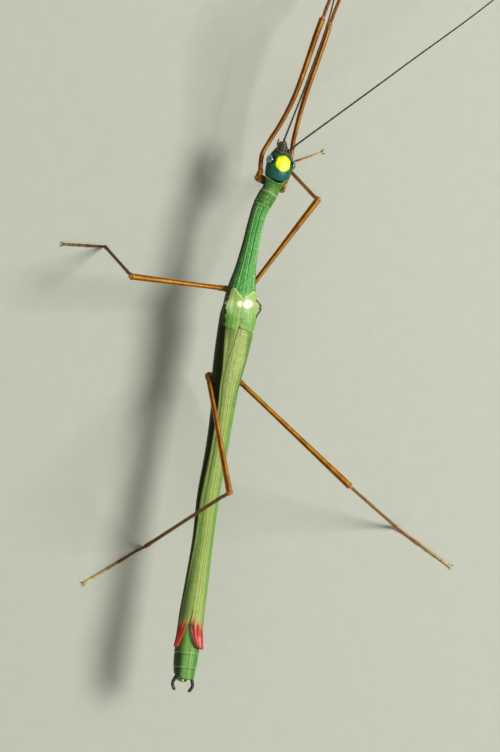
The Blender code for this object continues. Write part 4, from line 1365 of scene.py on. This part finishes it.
def add_feeler(side, material):
    """A feeler of many joints, from its thick base to a thread."""
    base = head_place(FEELER_AHEAD, side * FEELER_SIDE, FEELER_RISE)
    root = head_place(FEELER_AHEAD - 0.22, side * FEELER_SIDE, FEELER_RISE - 0.04)
    turn, rise, _ = FEELERS[side][0]
    out = heading(turn, rise)
    scape_end = base + out * (0.2 + SCAPE_LENGTH)
    anchors = [scape_end + out * GAP]
    for turn, rise, length in FEELERS[side]:
        anchors.append(anchors[-1] + heading(turn, rise) * length)
    thread = curve_points(anchors, 620)
    # The thread's joints grow longer towards its tip, and each is thicker at its end.
    reach = np.concatenate(([0], np.cumsum([(b - a).length for a, b in zip(thread, thread[1:])])))
    share = reach / reach[-1]
    joint = 0.75 + 0.95 * share
    phase = np.cumsum(np.concatenate(([0], np.diff(reach) / joint[1:])))
    at_joint = peak(phase, np.round(phase), 0.10)
    sizes = (0.100 - 0.034 * share ** 0.7) * (1 + 0.12 * at_joint)
    dark, brown = (46, 34, 22), (98, 70, 40)

    def scape_tint(rings):
        return coats(plain((38, 42, 28), rings), (dark, 0.7 * mottle(rings, 0.2, 61)))

    def thread_tint(rings):
        return coats(
            plain(dark, rings),
            (brown, 0.5 * share_of(rings) + 0.3 * mottle(rings, 0.5, 62)),
            ((16, 12, 8), 0.8 * np.pad(at_joint, ROUND_STEPS)[:, None]),
        )

    build = Build()
    scape_shape = ((0, 0.15), (0.12, 0.16), (0.22, 0.12), (0.5, 0.165), (0.85, 0.165), (1, 0.13))
    scape = [root.lerp(scape_end, s) for s in np.linspace(0, 0.80, 20)]
    build.tube(scape, table(scape_shape, np.linspace(0, 1, 20)), 24, scape_tint)
    pedicel = [root.lerp(scape_end, s) for s in np.linspace(0.84, 1.06, 9)]
    build.tube(pedicel, np.linspace(0.105, 0.125, 9), 20, dark)
    build.tube(thread, sizes, 10, thread_tint)
    nodes = [f"feeler_{part}_{WORDS[side]}" for part in ("base", "near", "far")]
    build.finish(f"feeler_{WORDS[side]}_skin", material, "feeler_brown", nodes)


def trunk_tail():
    """The end of the trunk's axis, its left, up and rearward directions, and its half width."""
    centre, left, rise, wide, _ = trunk_frame(TRUNK[-1][0])
    back = left.cross(rise)
    return centre, left, rise, back if back.y > 0 else -back, wide


def add_cercus(side, material):
    """A black clasper that curves inwards behind the last segment."""
    centre, left, _, back, wide = trunk_tail()
    root = centre + left * side * wide * 0.86 + back * 0.06
    anchors = (
        root - back * 0.35 - left * side * 0.1,
        root,
        root + left * side * 0.20 + back * 0.65,
        root - left * side * 0.10 + back * 1.25,
    )
    shape = ((0, 0.16), (0.2, 0.17), (0.45, 0.185), (0.75, 0.175), (0.92, 0.19), (1, 0.14))

    def cercus_tint(rings):
        return coats(
            plain((24, 24, 16), rings),
            ((70, 74, 40), 0.5 * blotches(rings, 0.18, 71, 0.5, 0.8)),
            ((60, 96, 50), 0.8 * ramp(share_of(rings), 0.34, 0.22)),
        )

    build = Build()
    rings = build.tube(curve_points(anchors, 56), table(shape, np.linspace(0, 1, 56)), 30, cercus_tint)
    build.hairs(rings, (60, 54, 36), 60, 0.14, 72, lean=0.4)
    build.finish(f"cercus_{WORDS[side]}_skin", material, "cercus_black", (f"cercus_{WORDS[side]}",))


def add_tail_plates(material):
    """The small pale plates between the claspers, and the bowl below them."""
    centre, left, rise, back, _ = trunk_tail()
    axes = (back, left, rise)
    build = Build()
    for side in WORDS:
        place = centre + left * side * 0.26 + rise * 0.62 + back * 0.10
        build.ball(place, axes, (0.24, 0.13, 0.10), (214, 220, 186), 20, 26)
    build.ball(centre + rise * 0.30 + back * 0.06, axes, (0.30, 0.46, 0.34), (26, 34, 16))
    build.ball(centre - rise * 0.45 - back * 0.05, axes, (0.52, 0.80, 0.44), (104, 140, 70))
    build.finish("tail_plates", material, "abdomen_green")


# ---------------------------------------------------------------- the stage

FLOOR_SIZE = 3.0
# Each lamp: its direction from the insect, its distance and its size in metres, its power and its linear colour.
LAMPS = {
    "key": ((-0.52, -0.24, 0.82), 0.55, 0.20, 3.45, (0.96, 0.98, 0.85)),
    "fill": ((0.50, 0.25, 0.83), 0.60, 0.50, 0.55, (0.90, 0.96, 0.84)),
    "back": ((-0.2, 0.90, 0.55), 0.60, 0.40, 0.5, (0.96, 1.0, 0.86)),
}
WORLD_TINT, WORLD_STRENGTH = (0.92, 0.92, 0.70, 1), 0.22
CAMERA_AIM = (-2.71, 7.75, BODY_AXIS_HEIGHT)
CAMERA_TO_LEFT, CAMERA_TILT = math.radians(20), math.radians(10.5)
VIEW_WIDTH = 0.0805
LENS, SENSOR = 400, 36


def place_of(x, y, z):
    """A point of the model, in the frame's place and in metres."""
    return (Vector((x, y, z)) + SHIFT) * MM


def add_floor():
    """A sheet of pale grey paper."""
    data = bpy.data.meshes.new("floor")
    corners = [(x * FLOOR_SIZE, y * FLOOR_SIZE, 0) for x, y in ((-1, -1), (1, -1), (1, 1), (-1, 1))]
    data.from_pydata(corners, [], [(0, 1, 2, 3)])
    floor = bpy.data.objects.new("floor", data)
    bpy.context.scene.collection.objects.link(floor)
    paper = Material("floor_paper", 0.85)
    paper.feed("Base Color", paper.mixed(paper.noise(0.6, 4.0), (0.43, 0.43, 0.415, 1), (0.47, 0.47, 0.455, 1)))
    data.materials.append(paper.made)


def add_lamp(name):
    """A soft round lamp that faces the insect's back."""
    direction, distance, size, power, tint = LAMPS[name]
    data = bpy.data.lights.new(name, "AREA")
    data.shape, data.size, data.energy, data.color = "DISK", size, power, tint
    lamp = bpy.data.objects.new(name, data)
    away = Vector(direction).normalized()
    lamp.location = place_of(0, 5, BODY_AXIS_HEIGHT) + away * distance
    lamp.rotation_euler = away.to_track_quat("Z", "Y").to_euler()
    bpy.context.scene.collection.objects.link(lamp)


def add_camera():
    """Above the back and a little to its left, turned so that the body slants across the view."""
    towards = Vector((math.sin(CAMERA_TO_LEFT), 0, math.cos(CAMERA_TO_LEFT)))
    ahead, right = Vector((0, -1, 0)), Vector((-math.cos(CAMERA_TO_LEFT), 0, math.sin(CAMERA_TO_LEFT)))
    view_up = ahead * math.cos(CAMERA_TILT) - right * math.sin(CAMERA_TILT)
    view_right = ahead * math.sin(CAMERA_TILT) + right * math.cos(CAMERA_TILT)
    data = bpy.data.cameras.new("camera")
    data.sensor_width, data.lens, data.clip_start = SENSOR, LENS, 0.01
    location = place_of(*CAMERA_AIM) + towards * (VIEW_WIDTH * LENS / SENSOR)
    camera = bpy.data.objects.new("camera", data)
    columns = (view_right, view_up, towards, location)
    camera.matrix_world = Matrix([[column[i] for column in columns] for i in range(3)] + [(0, 0, 0, 1)])
    bpy.context.scene.collection.objects.link(camera)
    bpy.context.scene.camera = camera


def add_stage():
    """The camera, the floor, the lamps and the light of the surroundings."""
    add_camera()
    add_floor()
    for name in LAMPS:
        add_lamp(name)
    world = bpy.data.worlds.new("studio")
    world.use_nodes = True
    background = world.node_tree.nodes["Background"]
    background.inputs[0].default_value, background.inputs[1].default_value = WORLD_TINT, WORLD_STRENGTH
    bpy.context.scene.world = world
    bpy.context.scene.view_settings.view_transform = "Standard"


def main():
    add_stage()
    shells = {name: shell_material(name) for name in SHELLS}
    eyes, membrane = eye_material(), wing_material()
    add_trunk(shells["body_shell"])
    add_head(shells["head_shell"])
    add_mouth(shells["mouth_shell"])
    for side in WORDS:
        add_eye(side, eyes)
        add_tegmen(side, shells["tegmen_shell"])
        add_wing(side, membrane)
        add_feeler(side, shells["thread_shell"])
        add_cercus(side, shells["black_shell"])
    add_tail_plates(shells["tail_shell"])
    for name in LEGS:
        add_leg(name, shells["leg_shell"])
        add_claws(name, shells["claw_shell"])


main()
